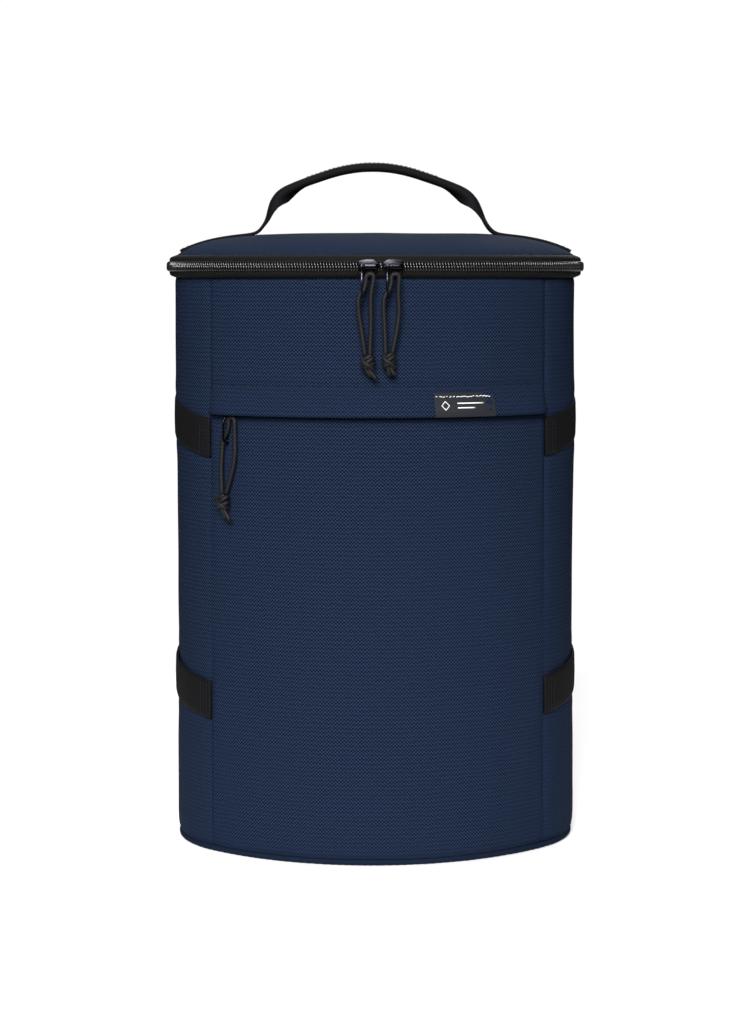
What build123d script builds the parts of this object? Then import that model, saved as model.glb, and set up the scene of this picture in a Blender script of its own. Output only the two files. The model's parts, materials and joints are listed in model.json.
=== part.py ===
"""Insulated cooler bag: a soft box with foam walls, a zipped lid, a front pocket and a webbing handle.

Millimetres. X runs across the bag, the front faces -Y, +Z is up.
The origin is the middle of the base, on the surface that the bag stands on.
"""

import math
import os

from build123d import *

# Plan outline: an oval of four tangent arcs, wide shallow ones at the front and back
HALF_WIDTH = 131.5
HALF_DEPTH = 92.0
FRONT_RADIUS = 165.0

# Heights
RIM = 371.0
ZIP_HEIGHT = 378.0
LID_EDGE = 385.2
LID_CROWN = 399.0
CROWN_INSET = 52.0
HOOD_HEM = 283.0
HOOD_STITCH = 303.0
POCKET_ZIP = 287.0
POCKET_TOP = 281.0

# Layers of the wall
FABRIC = 1.0
FOAM = 6.0
LINER = 0.6
PLY_GAP = 0.2
POCKET_GAP = 3.8
BOARD = 2.0
BACKING = 0.8
BINDING = 0.8
BASE_CLOTH = 1.2

# Zips: a No. 5 coil at the rim, a finer one on the pocket
RIM_COIL_HEIGHT = 2.0
RIM_COIL_WIDTH = 2.5
POCKET_COIL_HEIGHT = 1.4
POCKET_COIL_WIDTH = 2.2
CHAIN_GAP = 1.2
RIM_TAPE_OUT = 4.1
POCKET_TAPE_OUT = -3.3

# Pulls
CORD_DIAMETER = 2.9
PULLER_THICKNESS = 1.1

# Webbing
WEBBING_WIDTH = 25.0
WEBBING_THICKNESS = 1.8
GRIP_WIDTH = 12.5
GRIP_THICKNESS = 5.6

# The two side arcs have the radius that makes them tangent to the front and back arcs
SIDE_RADIUS = 2 * FRONT_RADIUS * HALF_DEPTH - HALF_DEPTH**2 - HALF_WIDTH**2
SIDE_RADIUS /= 2 * (FRONT_RADIUS - HALF_WIDTH)
SIDE_CENTRE = HALF_WIDTH - SIDE_RADIUS
FRONT_CENTRE = FRONT_RADIUS - HALF_DEPTH
SEAM = math.degrees(math.atan2(SIDE_CENTRE, FRONT_CENTRE))

# Each stretch of the outline: centre, radius, first angle and span
FRONT = ((0, FRONT_CENTRE), FRONT_RADIUS, 270 - SEAM, 2 * SEAM)
RIGHT = ((SIDE_CENTRE, 0), SIDE_RADIUS, 270 + SEAM, 180 - 2 * SEAM)
BACK = ((0, -FRONT_CENTRE), FRONT_RADIUS, 90 - SEAM, 2 * SEAM)
LEFT = ((-SIDE_CENTRE, 0), SIDE_RADIUS, 90 + SEAM, 180 - 2 * SEAM)

os.makedirs("parts", exist_ok=True)


def finish(builder, label):
    """Name a piece and write it."""
    builder.part.label = label
    export_step(builder.part, f"parts/{label}.step")


def oval(grow):
    """Plan outline, offset outwards by grow."""
    with BuildLine() as outline:
        for centre, radius, start, span in (FRONT, RIGHT, BACK, LEFT):
            CenterArc(centre, radius + grow, start, span)
    make_face(outline.edges())


def front_sector(inner, outer, half_angle):
    """Part of a ring about the front arc's centre, between two offsets from the front face."""
    start = math.radians(270 - half_angle)
    end = math.radians(270 + half_angle)
    near = FRONT_RADIUS + outer
    far = FRONT_RADIUS + inner
    with BuildLine() as outline:
        CenterArc((0, FRONT_CENTRE), near, 270 - half_angle, 2 * half_angle)
        CenterArc((0, FRONT_CENTRE), far, 270 - half_angle, 2 * half_angle)
        for angle in (start, end):
            Line(
                (far * math.cos(angle), FRONT_CENTRE + far * math.sin(angle)),
                (near * math.cos(angle), FRONT_CENTRE + near * math.sin(angle)),
            )
    make_face(outline.edges())


def wrap(stretches, *outline):
    """Sweep an outline of (offset, height) points round the given stretches of the plan."""
    for (cx, cy), radius, start, span in stretches:
        angle = math.radians(start)
        outward = (math.cos(angle), math.sin(angle), 0)
        sideways = (math.sin(angle), -math.cos(angle), 0)
        with BuildSketch(Plane((cx, cy, 0), x_dir=outward, z_dir=sideways)) as profile:
            with BuildLine():
                Polyline(*[(radius + offset, height) for offset, height in outline], close=True)
            make_face()
        revolve(profile.sketch, axis=Axis((cx, cy, 0), (0, 0, 1)), revolution_arc=span)


def band(stretches, inner, outer, low, high):
    """A plain upright band between two offsets and two heights."""
    wrap(stretches, (inner, low), (outer, low), (outer, high), (inner, high))


def narrowed(half_angle):
    """The front stretch, cut down to half_angle each side of the middle."""
    return [(FRONT[0], FRONT[1], 270 - half_angle, 2 * half_angle)]


def front_plane(turn, offset, height):
    """Plane that faces out of the front arc, turned round it from the middle of the front."""
    angle = math.radians(turn)
    outward = (math.sin(angle), -math.cos(angle), 0)
    along = (math.cos(angle), math.sin(angle), 0)
    reach = FRONT_RADIUS + offset
    origin = (reach * outward[0], FRONT_CENTRE + reach * outward[1], height)
    return Plane(origin, x_dir=along, z_dir=outward)


# ---------------------------------------------------------------- outer fabric

# A wall panel turns in at its foot, where it is sewn to the piping
WALL_OUTLINE = (
    (0, RIM),
    (0, 10),
    (-0.5, 6),
    (-1.6, 3.9),
    (-2.8, 3.9),
    (-1.6, 6.3),
    (-FABRIC, 10),
    (-FABRIC, RIM),
)

for label, stretch in (("side_panel_left", LEFT), ("side_panel_right", RIGHT), ("back_panel", BACK)):
    with BuildPart() as wall_panel:
        wrap([stretch], *WALL_OUTLINE)
    finish(wall_panel, label)

# The upper front is folded up at the hem and stitched through the pocket zip's upper tape.
# Below the stitching it stands out as a hood that the pocket slider runs behind.
HOOD_OUT = 6.2
with BuildPart() as front_panel:
    wrap(
        [FRONT],
        (0, RIM),
        (0.2, 318),
        (0.4, HOOD_STITCH),
        (1.6, 299),
        (HOOD_OUT + FABRIC, 287),
        (HOOD_OUT + FABRIC, HOOD_HEM),
        (HOOD_OUT, HOOD_HEM),
        (HOOD_OUT, 286.6),
        (0.4, 299.4),
        (POCKET_TAPE_OUT + 0.6, 299.4),
        (POCKET_TAPE_OUT + 0.6, HOOD_STITCH + 1),
        (-FABRIC, HOOD_STITCH + 2),
        (-FABRIC, RIM),
    )
finish(front_panel, "front_panel")

# The pocket's front, with its upper edge turned in to meet the zip's lower tape
with BuildPart() as pocket_panel:
    wrap(
        [FRONT],
        (0, POCKET_TOP),
        *WALL_OUTLINE[1:7],
        (-FABRIC, POCKET_TOP - 1.4),
        (POCKET_TAPE_OUT + 0.6, POCKET_TOP - 1.4),
        (POCKET_TAPE_OUT + 0.6, POCKET_TOP),
    )
finish(pocket_panel, "pocket_panel")

# The pocket's back wall lies on the foam
BACKING_OUT = -FABRIC - POCKET_GAP
BACKING_FOOT = 10.0
BACKING_HALF_ANGLE = SEAM - 1.3
with BuildPart() as pocket_backing:
    band(narrowed(BACKING_HALF_ANGLE), BACKING_OUT - BACKING, BACKING_OUT, BACKING_FOOT, HOOD_STITCH + 1)
finish(pocket_backing, "pocket_backing")

# The base cloth lies inside the piping, and a board and a foam sheet lie on it
BASE_INSET = 4.2
BOARD_INSET = 5.0
BASE_FOAM_INSET = 3.4
with BuildPart() as base_panel:
    with BuildSketch():
        oval(-BASE_INSET)
    extrude(amount=BASE_CLOTH)
finish(base_panel, "base_panel")

PIPING_RADIUS = 1.8
PIPING_INSET = 2.2
PIPING_HEIGHT = 1.9
with BuildPart() as base_piping:
    for (cx, cy), radius, start, span in (FRONT, RIGHT, BACK, LEFT):
        angle = math.radians(start)
        outward = (math.cos(angle), math.sin(angle), 0)
        sideways = (math.sin(angle), -math.cos(angle), 0)
        with BuildSketch(Plane((cx, cy, 0), x_dir=outward, z_dir=sideways)):
            with Locations((radius - PIPING_INSET, PIPING_HEIGHT)):
                Circle(PIPING_RADIUS)
        revolve(axis=Axis((cx, cy, 0), (0, 0, 1)), revolution_arc=span)
finish(base_piping, "base_piping")

# ---------------------------------------------------------------- insulation and liner

FOAM_OUT = -FABRIC - PLY_GAP
FOAM_IN = FOAM_OUT - FOAM
RECESS_OUT = BACKING_OUT - BACKING - PLY_GAP
RECESS_IN = RECESS_OUT - FOAM
FLOOR_FOAM_TOP = BASE_CLOTH + BOARD + 2 * PLY_GAP + FOAM
WALL_FOOT = FLOOR_FOAM_TOP + PLY_GAP
FOAM_TOP = 375.5
RECESS_HALF_ANGLE = 40.0


def cavity(gap):
    """Inside of the foam walls, drawn in by gap. Behind the pocket it is shallower."""
    oval(FOAM_IN - gap)
    step_angle = RECESS_HALF_ANGLE + math.degrees(gap / FRONT_RADIUS)
    with BuildSketch(mode=Mode.PRIVATE) as step:
        front_sector(RECESS_IN - gap, 5, step_angle)
    add(step.sketch, mode=Mode.SUBTRACT)


with BuildPart() as wall_foam:
    with BuildSketch(Plane.XY.offset(WALL_FOOT)):
        oval(FOAM_OUT)
        with BuildSketch(mode=Mode.PRIVATE) as hollow:
            cavity(0)
        add(hollow.sketch, mode=Mode.SUBTRACT)
    extrude(amount=FOAM_TOP - WALL_FOOT)
    with BuildSketch(Plane.XY.offset(WALL_FOOT)):
        front_sector(RECESS_OUT, 3, SEAM + 0.2)
    extrude(amount=HOOD_STITCH + 2 - WALL_FOOT, mode=Mode.SUBTRACT)
finish(wall_foam, "wall_foam")

with BuildPart() as base_board:
    with BuildSketch(Plane.XY.offset(BASE_CLOTH + PLY_GAP)):
        oval(-BOARD_INSET)
    extrude(amount=BOARD)
finish(base_board, "base_board")

with BuildPart() as base_foam:
    with BuildSketch(Plane.XY.offset(FLOOR_FOAM_TOP - FOAM)):
        oval(-BASE_FOAM_INSET)
    extrude(amount=FOAM)
finish(base_foam, "base_foam")

with BuildPart() as liner_wall:
    with BuildSketch(Plane.XY.offset(WALL_FOOT)):
        cavity(PLY_GAP)
        with BuildSketch(mode=Mode.PRIVATE) as hollow:
            cavity(PLY_GAP + LINER)
        add(hollow.sketch, mode=Mode.SUBTRACT)
    extrude(amount=FOAM_TOP - WALL_FOOT)
finish(liner_wall, "liner_wall")

with BuildPart() as liner_floor:
    with BuildSketch(Plane.XY.offset(WALL_FOOT)):
        cavity(2 * PLY_GAP + LINER)
    extrude(amount=LINER)
finish(liner_floor, "liner_floor")

with BuildPart() as rim_binding:
    with BuildSketch(Plane.XY.offset(FOAM_TOP + PLY_GAP)):
        oval(FOAM_OUT)
        with BuildSketch(mode=Mode.PRIVATE) as hollow:
            cavity(PLY_GAP + LINER)
        add(hollow.sketch, mode=Mode.SUBTRACT)
    extrude(amount=BINDING)
finish(rim_binding, "rim_binding")

# ---------------------------------------------------------------- lid


def dome(inset, edge, drop):
    """Solid under the lid's domed surface, from an edge height up to the crown less drop."""
    with BuildSketch(Plane.XY.offset(edge)) as lower:
        oval(-inset)
    with BuildSketch(Plane.XY.offset(LID_CROWN - drop)) as upper:
        oval(-CROWN_INSET)
    loft([lower.sketch, upper.sketch])


def shell(inset, edge, drop, thickness):
    """A domed sheet of even upright thickness."""
    dome(inset, edge, drop)
    with BuildPart(mode=Mode.PRIVATE) as under:
        dome(inset, edge - thickness, drop + thickness)
    add(under.part, mode=Mode.SUBTRACT)


with BuildPart() as lid_panel:
    shell(0, LID_EDGE, 0, FABRIC)
finish(lid_panel, "lid_panel")

LID_FOAM_TOP = LID_EDGE - FABRIC - PLY_GAP
LID_FOAM_BOTTOM = ZIP_HEIGHT + 0.2
with BuildPart() as lid_foam:
    dome(-FOAM_OUT, LID_FOAM_TOP, FABRIC + PLY_GAP)
    with BuildSketch(Plane.XY.offset(LID_FOAM_BOTTOM)):
        oval(FOAM_OUT)
    extrude(amount=LID_FOAM_TOP - LID_FOAM_BOTTOM)
    with BuildPart(mode=Mode.PRIVATE) as under_foam:
        dome(-FOAM_IN, LID_FOAM_BOTTOM, FABRIC + PLY_GAP + FOAM)
    add(under_foam.part, mode=Mode.SUBTRACT)
finish(lid_foam, "lid_foam")

with BuildPart() as lid_liner:
    shell(-FOAM_IN + PLY_GAP, LID_FOAM_BOTTOM, FABRIC + FOAM + 2 * PLY_GAP, LINER)
finish(lid_liner, "lid_liner")

with BuildPart() as lid_binding:
    with BuildSketch(Plane.XY.offset(LID_FOAM_BOTTOM - PLY_GAP - BINDING)):
        oval(FOAM_OUT)
        with BuildSketch(mode=Mode.PRIVATE) as hollow:
            oval(FOAM_IN - PLY_GAP - LINER)
        add(hollow.sketch, mode=Mode.SUBTRACT)
    extrude(amount=BINDING)
finish(lid_binding, "lid_binding")

# The hinge is a strip of the outer cloth, just outside the back of the rim
HINGE_OUT = 0.2
HINGE_THICKNESS = 0.8
with BuildPart() as lid_hinge_panel:
    band([BACK], HINGE_OUT, HINGE_OUT + HINGE_THICKNESS, RIM + 0.2, LID_EDGE - 0.3)
finish(lid_hinge_panel, "lid_hinge_panel")

# ---------------------------------------------------------------- rim zip

ZIP_RUN = [FRONT, RIGHT, LEFT]
TAPE = 0.6


def rim_tape(up):
    """One tape of the rim zip: upright beside the coil, then slanted in to the seam."""
    outer = RIM_TAPE_OUT + TAPE
    wrap(
        ZIP_RUN,
        (outer, ZIP_HEIGHT + up * CHAIN_GAP / 2),
        (outer, ZIP_HEIGHT + up * 5.5),
        (0.2, ZIP_HEIGHT + up * 6.9),
        (-0.8, ZIP_HEIGHT + up * 6.9),
        (-0.8, ZIP_HEIGHT + up * 6.4),
        (RIM_TAPE_OUT, ZIP_HEIGHT + up * 5.0),
        (RIM_TAPE_OUT, ZIP_HEIGHT + up * CHAIN_GAP / 2),
    )


for label, up in (("zip_tape_body", -1), ("zip_tape_lid", 1)):
    with BuildPart() as tape:
        rim_tape(up)
    finish(tape, label)

COIL_IN = RIM_TAPE_OUT + TAPE
for label, up in (("zip_coil_body", -1), ("zip_coil_lid", 1)):
    near_edge = ZIP_HEIGHT + up * CHAIN_GAP / 2
    far_edge = near_edge + up * RIM_COIL_WIDTH
    with BuildPart() as coil:
        band(ZIP_RUN, COIL_IN, COIL_IN + RIM_COIL_HEIGHT, min(near_edge, far_edge), max(near_edge, far_edge))
    finish(coil, label)

# A folded fabric tab covers each end of the zip, at the back corners
TAB_SPAN = 3.0
TAB_GAP = 0.4
TAB_STARTS = {"zip_tab_left": 90 + SEAM - TAB_SPAN - TAB_GAP, "zip_tab_right": 90 - SEAM + TAB_GAP}
for label, start in TAB_STARTS.items():
    with BuildPart() as tab:
        band([(BACK[0], BACK[1], start, TAB_SPAN)], 1.2, 4.6, RIM + 0.4, ZIP_HEIGHT - 0.4)
    finish(tab, label)

# ---------------------------------------------------------------- pocket zip

POCKET_TAPE = 0.4
POCKET_RUN = narrowed(SEAM - 2.2)
for label, low, high in (
    ("pocket_zip_tape_lower", POCKET_TOP - 6.0, POCKET_ZIP - CHAIN_GAP / 2),
    ("pocket_zip_tape_upper", POCKET_ZIP + CHAIN_GAP / 2, HOOD_STITCH - 1.0),
):
    with BuildPart() as pocket_tape:
        band(POCKET_RUN, POCKET_TAPE_OUT, POCKET_TAPE_OUT + POCKET_TAPE, low, high)
    finish(pocket_tape, label)

POCKET_COIL_IN = POCKET_TAPE_OUT + POCKET_TAPE
for label, low in (
    ("pocket_zip_coil_lower", POCKET_ZIP - CHAIN_GAP / 2 - POCKET_COIL_WIDTH),
    ("pocket_zip_coil_upper", POCKET_ZIP + CHAIN_GAP / 2),
):
    with BuildPart() as pocket_coil:
        band(POCKET_RUN, POCKET_COIL_IN, POCKET_COIL_IN + POCKET_COIL_HEIGHT, low, low + POCKET_COIL_WIDTH)
    finish(pocket_coil, label)

# ---------------------------------------------------------------- sliders, pullers and cord loops

SLIDE_GAP = 0.45
PLATE = 0.7
BRIDGE_HEIGHT = 1.2
BRIDGE_BAR = 1.0


def slider(turn, height, tape_out, tape, coil_height, coil_width, length, bridge_rise, nose):
    """Two plates joined by a post that runs between the coils, a lip below the lower coil, and a bridge.

    The upper side is open, so that the upper coil can lift out. nose is +1 or -1 along the zip.
    Returns the offset of the bridge bar's middle.
    """
    inner_plate = tape_out - SLIDE_GAP - PLATE
    outer_plate = tape_out + tape + coil_height + SLIDE_GAP
    lip_top = -CHAIN_GAP / 2 - coil_width - 0.4
    half_height = -lip_top + 1.0
    half = length / 2
    for offset in (inner_plate, outer_plate):
        with BuildSketch(front_plane(turn, offset, height)) as plate:
            with Locations((-nose * half_height / 2, 0)):
                Rectangle(length - half_height, 2 * half_height)
            with Locations((nose * (half - half_height), 0)):
                Circle(half_height)
        extrude(plate.sketch, amount=PLATE)
    with BuildSketch(front_plane(turn, inner_plate + PLATE / 2, height)) as post:
        with Locations((nose * (half - 3.2), 0)):
            Rectangle(3.0, CHAIN_GAP / 2)
    extrude(post.sketch, amount=outer_plate - inner_plate)
    with BuildSketch(front_plane(turn, tape_out + tape + SLIDE_GAP, height)) as lip:
        with Locations((-nose * 1.2, lip_top - 0.5)):
            Rectangle(length - 3.4, 1.0)
    extrude(lip.sketch, amount=outer_plate - tape_out - tape - SLIDE_GAP + PLATE / 2)
    bar_in = outer_plate + PLATE + bridge_rise
    with BuildSketch(front_plane(turn, outer_plate + PLATE / 2, height)) as feet:
        with Locations((half - 1.0, 0), (-half + 1.0, 0)):
            Rectangle(1.0, BRIDGE_HEIGHT)
    extrude(feet.sketch, amount=bar_in + BRIDGE_BAR / 2 - outer_plate - PLATE / 2)
    with BuildSketch(front_plane(turn, bar_in, height)) as bar:
        Rectangle(length - 1.0, BRIDGE_HEIGHT)
    extrude(bar.sketch, amount=BRIDGE_BAR)
    return bar_in + BRIDGE_BAR / 2


# The puller is a thin plate that hangs edge-on. Its narrow neck holds the bridge, and the cord
# goes through the wide slot below. Points run (outwards, down) from the middle of the bridge.
PULLER_OUTLINE = ((1.6, 1.8), (1.6, -5.0), (2.8, -7.6), (2.8, -20.4), (1.6, -21.9))
PULLER_SLOT = ((0.9, 1.15), (0.9, -5.6), (1.9, -8.4), (1.9, -20.0), (1.0, -20.9))


def puller(turn, along, offset, height):
    """A puller that hangs at a distance along the slider from its middle."""
    hang = front_plane(turn, offset, height)
    angle = math.radians(turn)
    origin = hang.from_local_coords((along - PULLER_THICKNESS / 2, 0, 0))
    side = Plane(origin, x_dir=(-math.sin(angle), math.cos(angle), 0), z_dir=hang.x_dir)
    for outline, mode in ((PULLER_OUTLINE, Mode.ADD), (PULLER_SLOT, Mode.SUBTRACT)):
        right = list(outline)
        left = [(-out, up) for out, up in reversed(outline)]
        with BuildSketch(side) as plate:
            with BuildLine():
                Polyline(*right, *left, close=True)
            make_face()
        extrude(plate.sketch, amount=PULLER_THICKNESS, mode=mode)


def corner_radii(points):
    """The largest arc that the shorter run at each corner leaves room for."""
    radii = []
    for before, at, after in zip(points, points[1:], points[2:]):
        first = Vector(*at) - Vector(*before)
        second = Vector(*after) - Vector(*at)
        turn = math.radians(first.get_angle(second))
        radii.append(0.45 * min(first.length, second.length) / math.tan(turn / 2))
    return radii


def cord(name, points):
    """Cord along a route of straight runs and tangent arcs."""
    radii = corner_radii(points)
    with BuildLine() as route:
        FilletPolyline(*points, radius=radii)
    line = route.wire()
    with BuildSketch(Plane(line @ 0, z_dir=line % 0)) as section:
        Circle(CORD_DIAMETER / 2)
    sweep(section.sketch, path=line)
    expected = math.pi * CORD_DIAMETER**2 / 4 * line.length
    print(name, "length", round(line.length, 1))
    return expected


def knot(plane, centre, size, tail):
    """A plain body for the knot, flat on top, and one solid for its tails."""
    width, tall = size
    across, out, up = centre
    start = plane.from_local_coords((across, up - tall / 2, out))
    with BuildSketch(Plane(start, x_dir=plane.x_dir, z_dir=(0, 0, 1))) as section:
        Ellipse(width / 2, 0.42 * width)
    extrude(section.sketch, amount=tall)
    top_and_bottom = edges().filter_by(GeomType.ELLIPSE)
    chamfer(top_and_bottom, length=1.6)
    tail_start = plane.from_local_coords((across + 0.6, up - tall / 2 + 2, out))
    tail_end = plane.from_local_coords(tail)
    with BuildSketch(Plane(tail_start, z_dir=tail_end - tail_start)) as end:
        Circle(1.5)
    extrude(end.sketch, amount=(tail_end - tail_start).length)


# Each route runs from the knot up the left strand, through the slot, and down the right strand.
# Points are (across, out, up) from the middle of the bridge, where the puller hangs.
LEFT_ROUTE = (
    (1.9, -1.6, -54.5),
    (0.0, -1.2, -41.0),
    (-1.9, -0.7, -29.5),
    (-2.4, -0.1, -22.5),
    (-1.9, 0.0, -18.4),
    (1.2, 0.1, -14.6),
    (2.6, 0.2, -10.2),
    (2.5, 0.2, -4.8),
    (7.7, 0.5, -4.5),
    (6.7, 0.4, -11.0),
    (5.3, -0.1, -19.5),
    (5.7, -0.8, -30.0),
    (5.4, -1.3, -42.5),
    (4.9, -1.6, -54.5),
)
RIGHT_ROUTE = (
    (-0.9, -1.5, -54.0),
    (-1.3, -1.2, -41.5),
    (-2.0, -0.8, -30.0),
    (-2.3, -0.2, -22.5),
    (-1.8, 0.0, -18.4),
    (1.2, 0.1, -14.6),
    (2.6, 0.2, -10.2),
    (2.5, 0.2, -4.8),
    (7.6, 0.5, -4.6),
    (7.0, 0.4, -11.0),
    (6.8, 0.0, -18.5),
    (7.6, -0.5, -27.0),
    (6.2, -1.1, -39.5),
    (3.1, -1.5, -54.0),
)
POCKET_ROUTE = (
    (-2.0, 1.3, -53.0),
    (-2.9, 0.9, -40.5),
    (-2.8, 0.4, -29.5),
    (-2.3, 0.0, -22.5),
    (-1.8, 0.0, -18.4),
    (1.2, 0.0, -14.6),
    (2.6, 0.1, -10.2),
    (2.5, 0.1, -4.8),
    (7.5, 0.2, -4.7),
    (7.4, 0.2, -11.5),
    (7.7, 0.3, -20.0),
    (8.0, 0.6, -29.5),
    (5.4, 1.0, -41.0),
    (1.2, 1.3, -53.0),
)

RIM_SLIDER = (RIM_TAPE_OUT, TAPE, RIM_COIL_HEIGHT, RIM_COIL_WIDTH, 12.8, 2.0)
POCKET_SLIDER = (POCKET_TAPE_OUT, POCKET_TAPE, POCKET_COIL_HEIGHT, POCKET_COIL_WIDTH, 12.0, 3.0)

# turn round the front, height, slider sizes, nose, puller along the slider, and route
PULLS = {
    "left": (-2.5, ZIP_HEIGHT, RIM_SLIDER, 1, -4.0, LEFT_ROUTE),
    "right": (2.5, ZIP_HEIGHT, RIM_SLIDER, -1, -3.6, RIGHT_ROUTE),
    "pocket": (-35.4, POCKET_ZIP, POCKET_SLIDER, 1, 0.0, POCKET_ROUTE),
}
# middle of the knot, its width and height, and the end of its tails
KNOTS = {
    "left": ((3.4, -1.6, -60.3), (10, 11.6), (9.0, -1.6, -70)),
    "right": ((1.1, -1.5, -59.0), (12, 10), (3.4, -1.5, -67)),
    "pocket": ((-0.4, 2.6, -59.2), (11, 12.4), (5, 2.6, -70)),
}

for name, (turn, height, sizes, nose, along, route) in PULLS.items():
    with BuildPart() as slider_body:
        bridge_out = slider(turn, height, *sizes, nose)
    finish(slider_body, f"zip_slider_{name}")

    with BuildPart() as puller_plate:
        puller(turn, along, bridge_out, height)
    finish(puller_plate, f"puller_{name}")

    hang = front_plane(turn, bridge_out, height)
    hang = Plane(hang.from_local_coords((along, 0, 0)), x_dir=hang.x_dir, z_dir=hang.z_dir)
    points = [tuple(hang.from_local_coords((across, up, out))) for across, out, up in route]
    with BuildPart() as pull_cord:
        expected_volume = cord(f"pull_cord_{name}", points)
    print("  volume over section times length", round(pull_cord.part.volume / expected_volume, 4))
    finish(pull_cord, f"pull_cord_{name}")

    middle, size, (tail_across, tail_out, tail_up) = KNOTS[name]
    with BuildPart() as pull_knot:
        knot(hang, middle, size, (tail_across, tail_up, tail_out))
    finish(pull_knot, f"pull_knot_{name}")

# ---------------------------------------------------------------- label and straps

# The label lies on the hood, to the right of the middle
LABEL_START = 11.5
LABEL_SPAN = 13.6
with BuildPart() as label_patch:
    wrap(
        [(FRONT[0], FRONT[1], 270 + LABEL_START, LABEL_SPAN)],
        (2.0, 299.0),
        (HOOD_OUT + FABRIC + 0.2, 287.4),
        (HOOD_OUT + FABRIC + 0.2, 283.2),
        (HOOD_OUT + FABRIC + 1.0, 283.2),
        (HOOD_OUT + FABRIC + 1.0, 287.8),
        (2.8, 299.4),
    )
finish(label_patch, "label")

# A strap is sewn into the front seam and into the back seam, and rises towards the back
STRAP_OUT = 0.3
STRAP_REACH = 52.0
STRAP_SPARE = 8.0
STRAPS = (
    ("strap_upper_left", LEFT, 268.0, 12.8),
    ("strap_lower_left", LEFT, 98.6, 11.0),
    ("strap_upper_right", RIGHT, 268.4, 11.6),
    ("strap_lower_right", RIGHT, 100.8, 10.2),
)
for label, stretch, front_height, rise in STRAPS:
    with BuildPart() as strap:
        band([stretch], STRAP_OUT, STRAP_OUT + WEBBING_THICKNESS, 60, 340)
        reach = STRAP_REACH + STRAP_SPARE
        front_edge = front_height - rise * STRAP_SPARE / STRAP_REACH
        back_edge = front_height + rise * (2 + STRAP_SPARE / STRAP_REACH)
        with BuildSketch(Plane.YZ):
            with BuildLine():
                Polyline(
                    (-reach, front_edge - WEBBING_WIDTH / 2),
                    (reach, back_edge - WEBBING_WIDTH / 2),
                    (reach, back_edge + WEBBING_WIDTH / 2),
                    (-reach, front_edge + WEBBING_WIDTH / 2),
                    close=True,
                )
            make_face()
        extrude(amount=2 * HALF_WIDTH, both=True, mode=Mode.INTERSECT)
    finish(strap, label)

# ---------------------------------------------------------------- handle

# The grip is the webbing folded lengthwise and stitched, an arch over the lid
GRIP_FOOT = 412.0
SHOULDER = (62.0, 433.0)
ARCH_TOP = 446.5
LEG_FOOT = (70.6, GRIP_FOOT)

with BuildPart() as handle_grip:
    with BuildLine(Plane.XZ) as arch:
        FilletPolyline(
            (-LEG_FOOT[0], LEG_FOOT[1]),
            (-SHOULDER[0], SHOULDER[1]),
            (0, ARCH_TOP),
            SHOULDER,
            LEG_FOOT,
            radius=(14, 150, 14),
        )
    with BuildSketch(Plane(arch.line @ 0, x_dir=(0, 1, 0), z_dir=arch.line % 0)):
        RectangleRounded(GRIP_WIDTH, GRIP_THICKNESS, 2.2)
    sweep(path=arch.line)
finish(handle_grip, "handle_grip")

# Each end of the webbing opens flat, lies along the lid and is sewn in at the rim
LID_SLOPE = (LID_CROWN - LID_EDGE) / CROWN_INSET
LIFT = 1.3
END_REACH = HALF_WIDTH - 1.0
LIFT_OFF = 84.5
BEND = 74.0


def lid_height(x):
    """Height of the lid's surface at a distance from the middle."""
    return LID_CROWN - max(0, abs(x) - (HALF_WIDTH - CROWN_INSET)) * LID_SLOPE


for label, side in (("handle_end_left", -1), ("handle_end_right", 1)):
    with BuildPart() as handle_end:
        with BuildLine(Plane.XZ) as lie:
            FilletPolyline(
                (side * END_REACH, lid_height(END_REACH) + LIFT),
                (side * LIFT_OFF, lid_height(LIFT_OFF) + LIFT),
                (side * BEND, lid_height(BEND) + LIFT + 1.4),
                (side * (LEG_FOOT[0] + 0.6), GRIP_FOOT - 0.3),
                radius=(20, 6),
            )
        with BuildSketch(Plane(lie.line @ 0, x_dir=(0, 1, 0), z_dir=lie.line % 0)):
            Rectangle(WEBBING_WIDTH, WEBBING_THICKNESS)
        sweep(path=lie.line)
    finish(handle_end, label)
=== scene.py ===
"""Insulated cooler bag: sewn fabric walls, a padded lid, zips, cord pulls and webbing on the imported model."""

import json
import math
import random

import bmesh
import bpy
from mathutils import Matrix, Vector, noise


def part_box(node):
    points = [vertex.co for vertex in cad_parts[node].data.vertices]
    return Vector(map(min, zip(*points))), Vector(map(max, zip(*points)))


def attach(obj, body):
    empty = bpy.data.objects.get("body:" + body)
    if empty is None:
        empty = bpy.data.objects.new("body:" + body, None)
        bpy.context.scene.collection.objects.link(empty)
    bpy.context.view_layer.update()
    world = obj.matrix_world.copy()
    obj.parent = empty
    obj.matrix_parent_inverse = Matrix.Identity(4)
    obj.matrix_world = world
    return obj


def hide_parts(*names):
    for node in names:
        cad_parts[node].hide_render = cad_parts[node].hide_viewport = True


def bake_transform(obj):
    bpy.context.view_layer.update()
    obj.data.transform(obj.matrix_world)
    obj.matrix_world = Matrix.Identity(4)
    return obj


bl_info = {
    "name": "Insulated cooler bag",
    "version": (1, 0, 0),
    "blender": (4, 5, 0),
    "location": "View3D > Sidebar > Cooler bag",
    "description": "Builds the sewn fabric, zips, pulls and webbing of an insulated cooler bag",
    "category": "Object",
}

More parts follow.
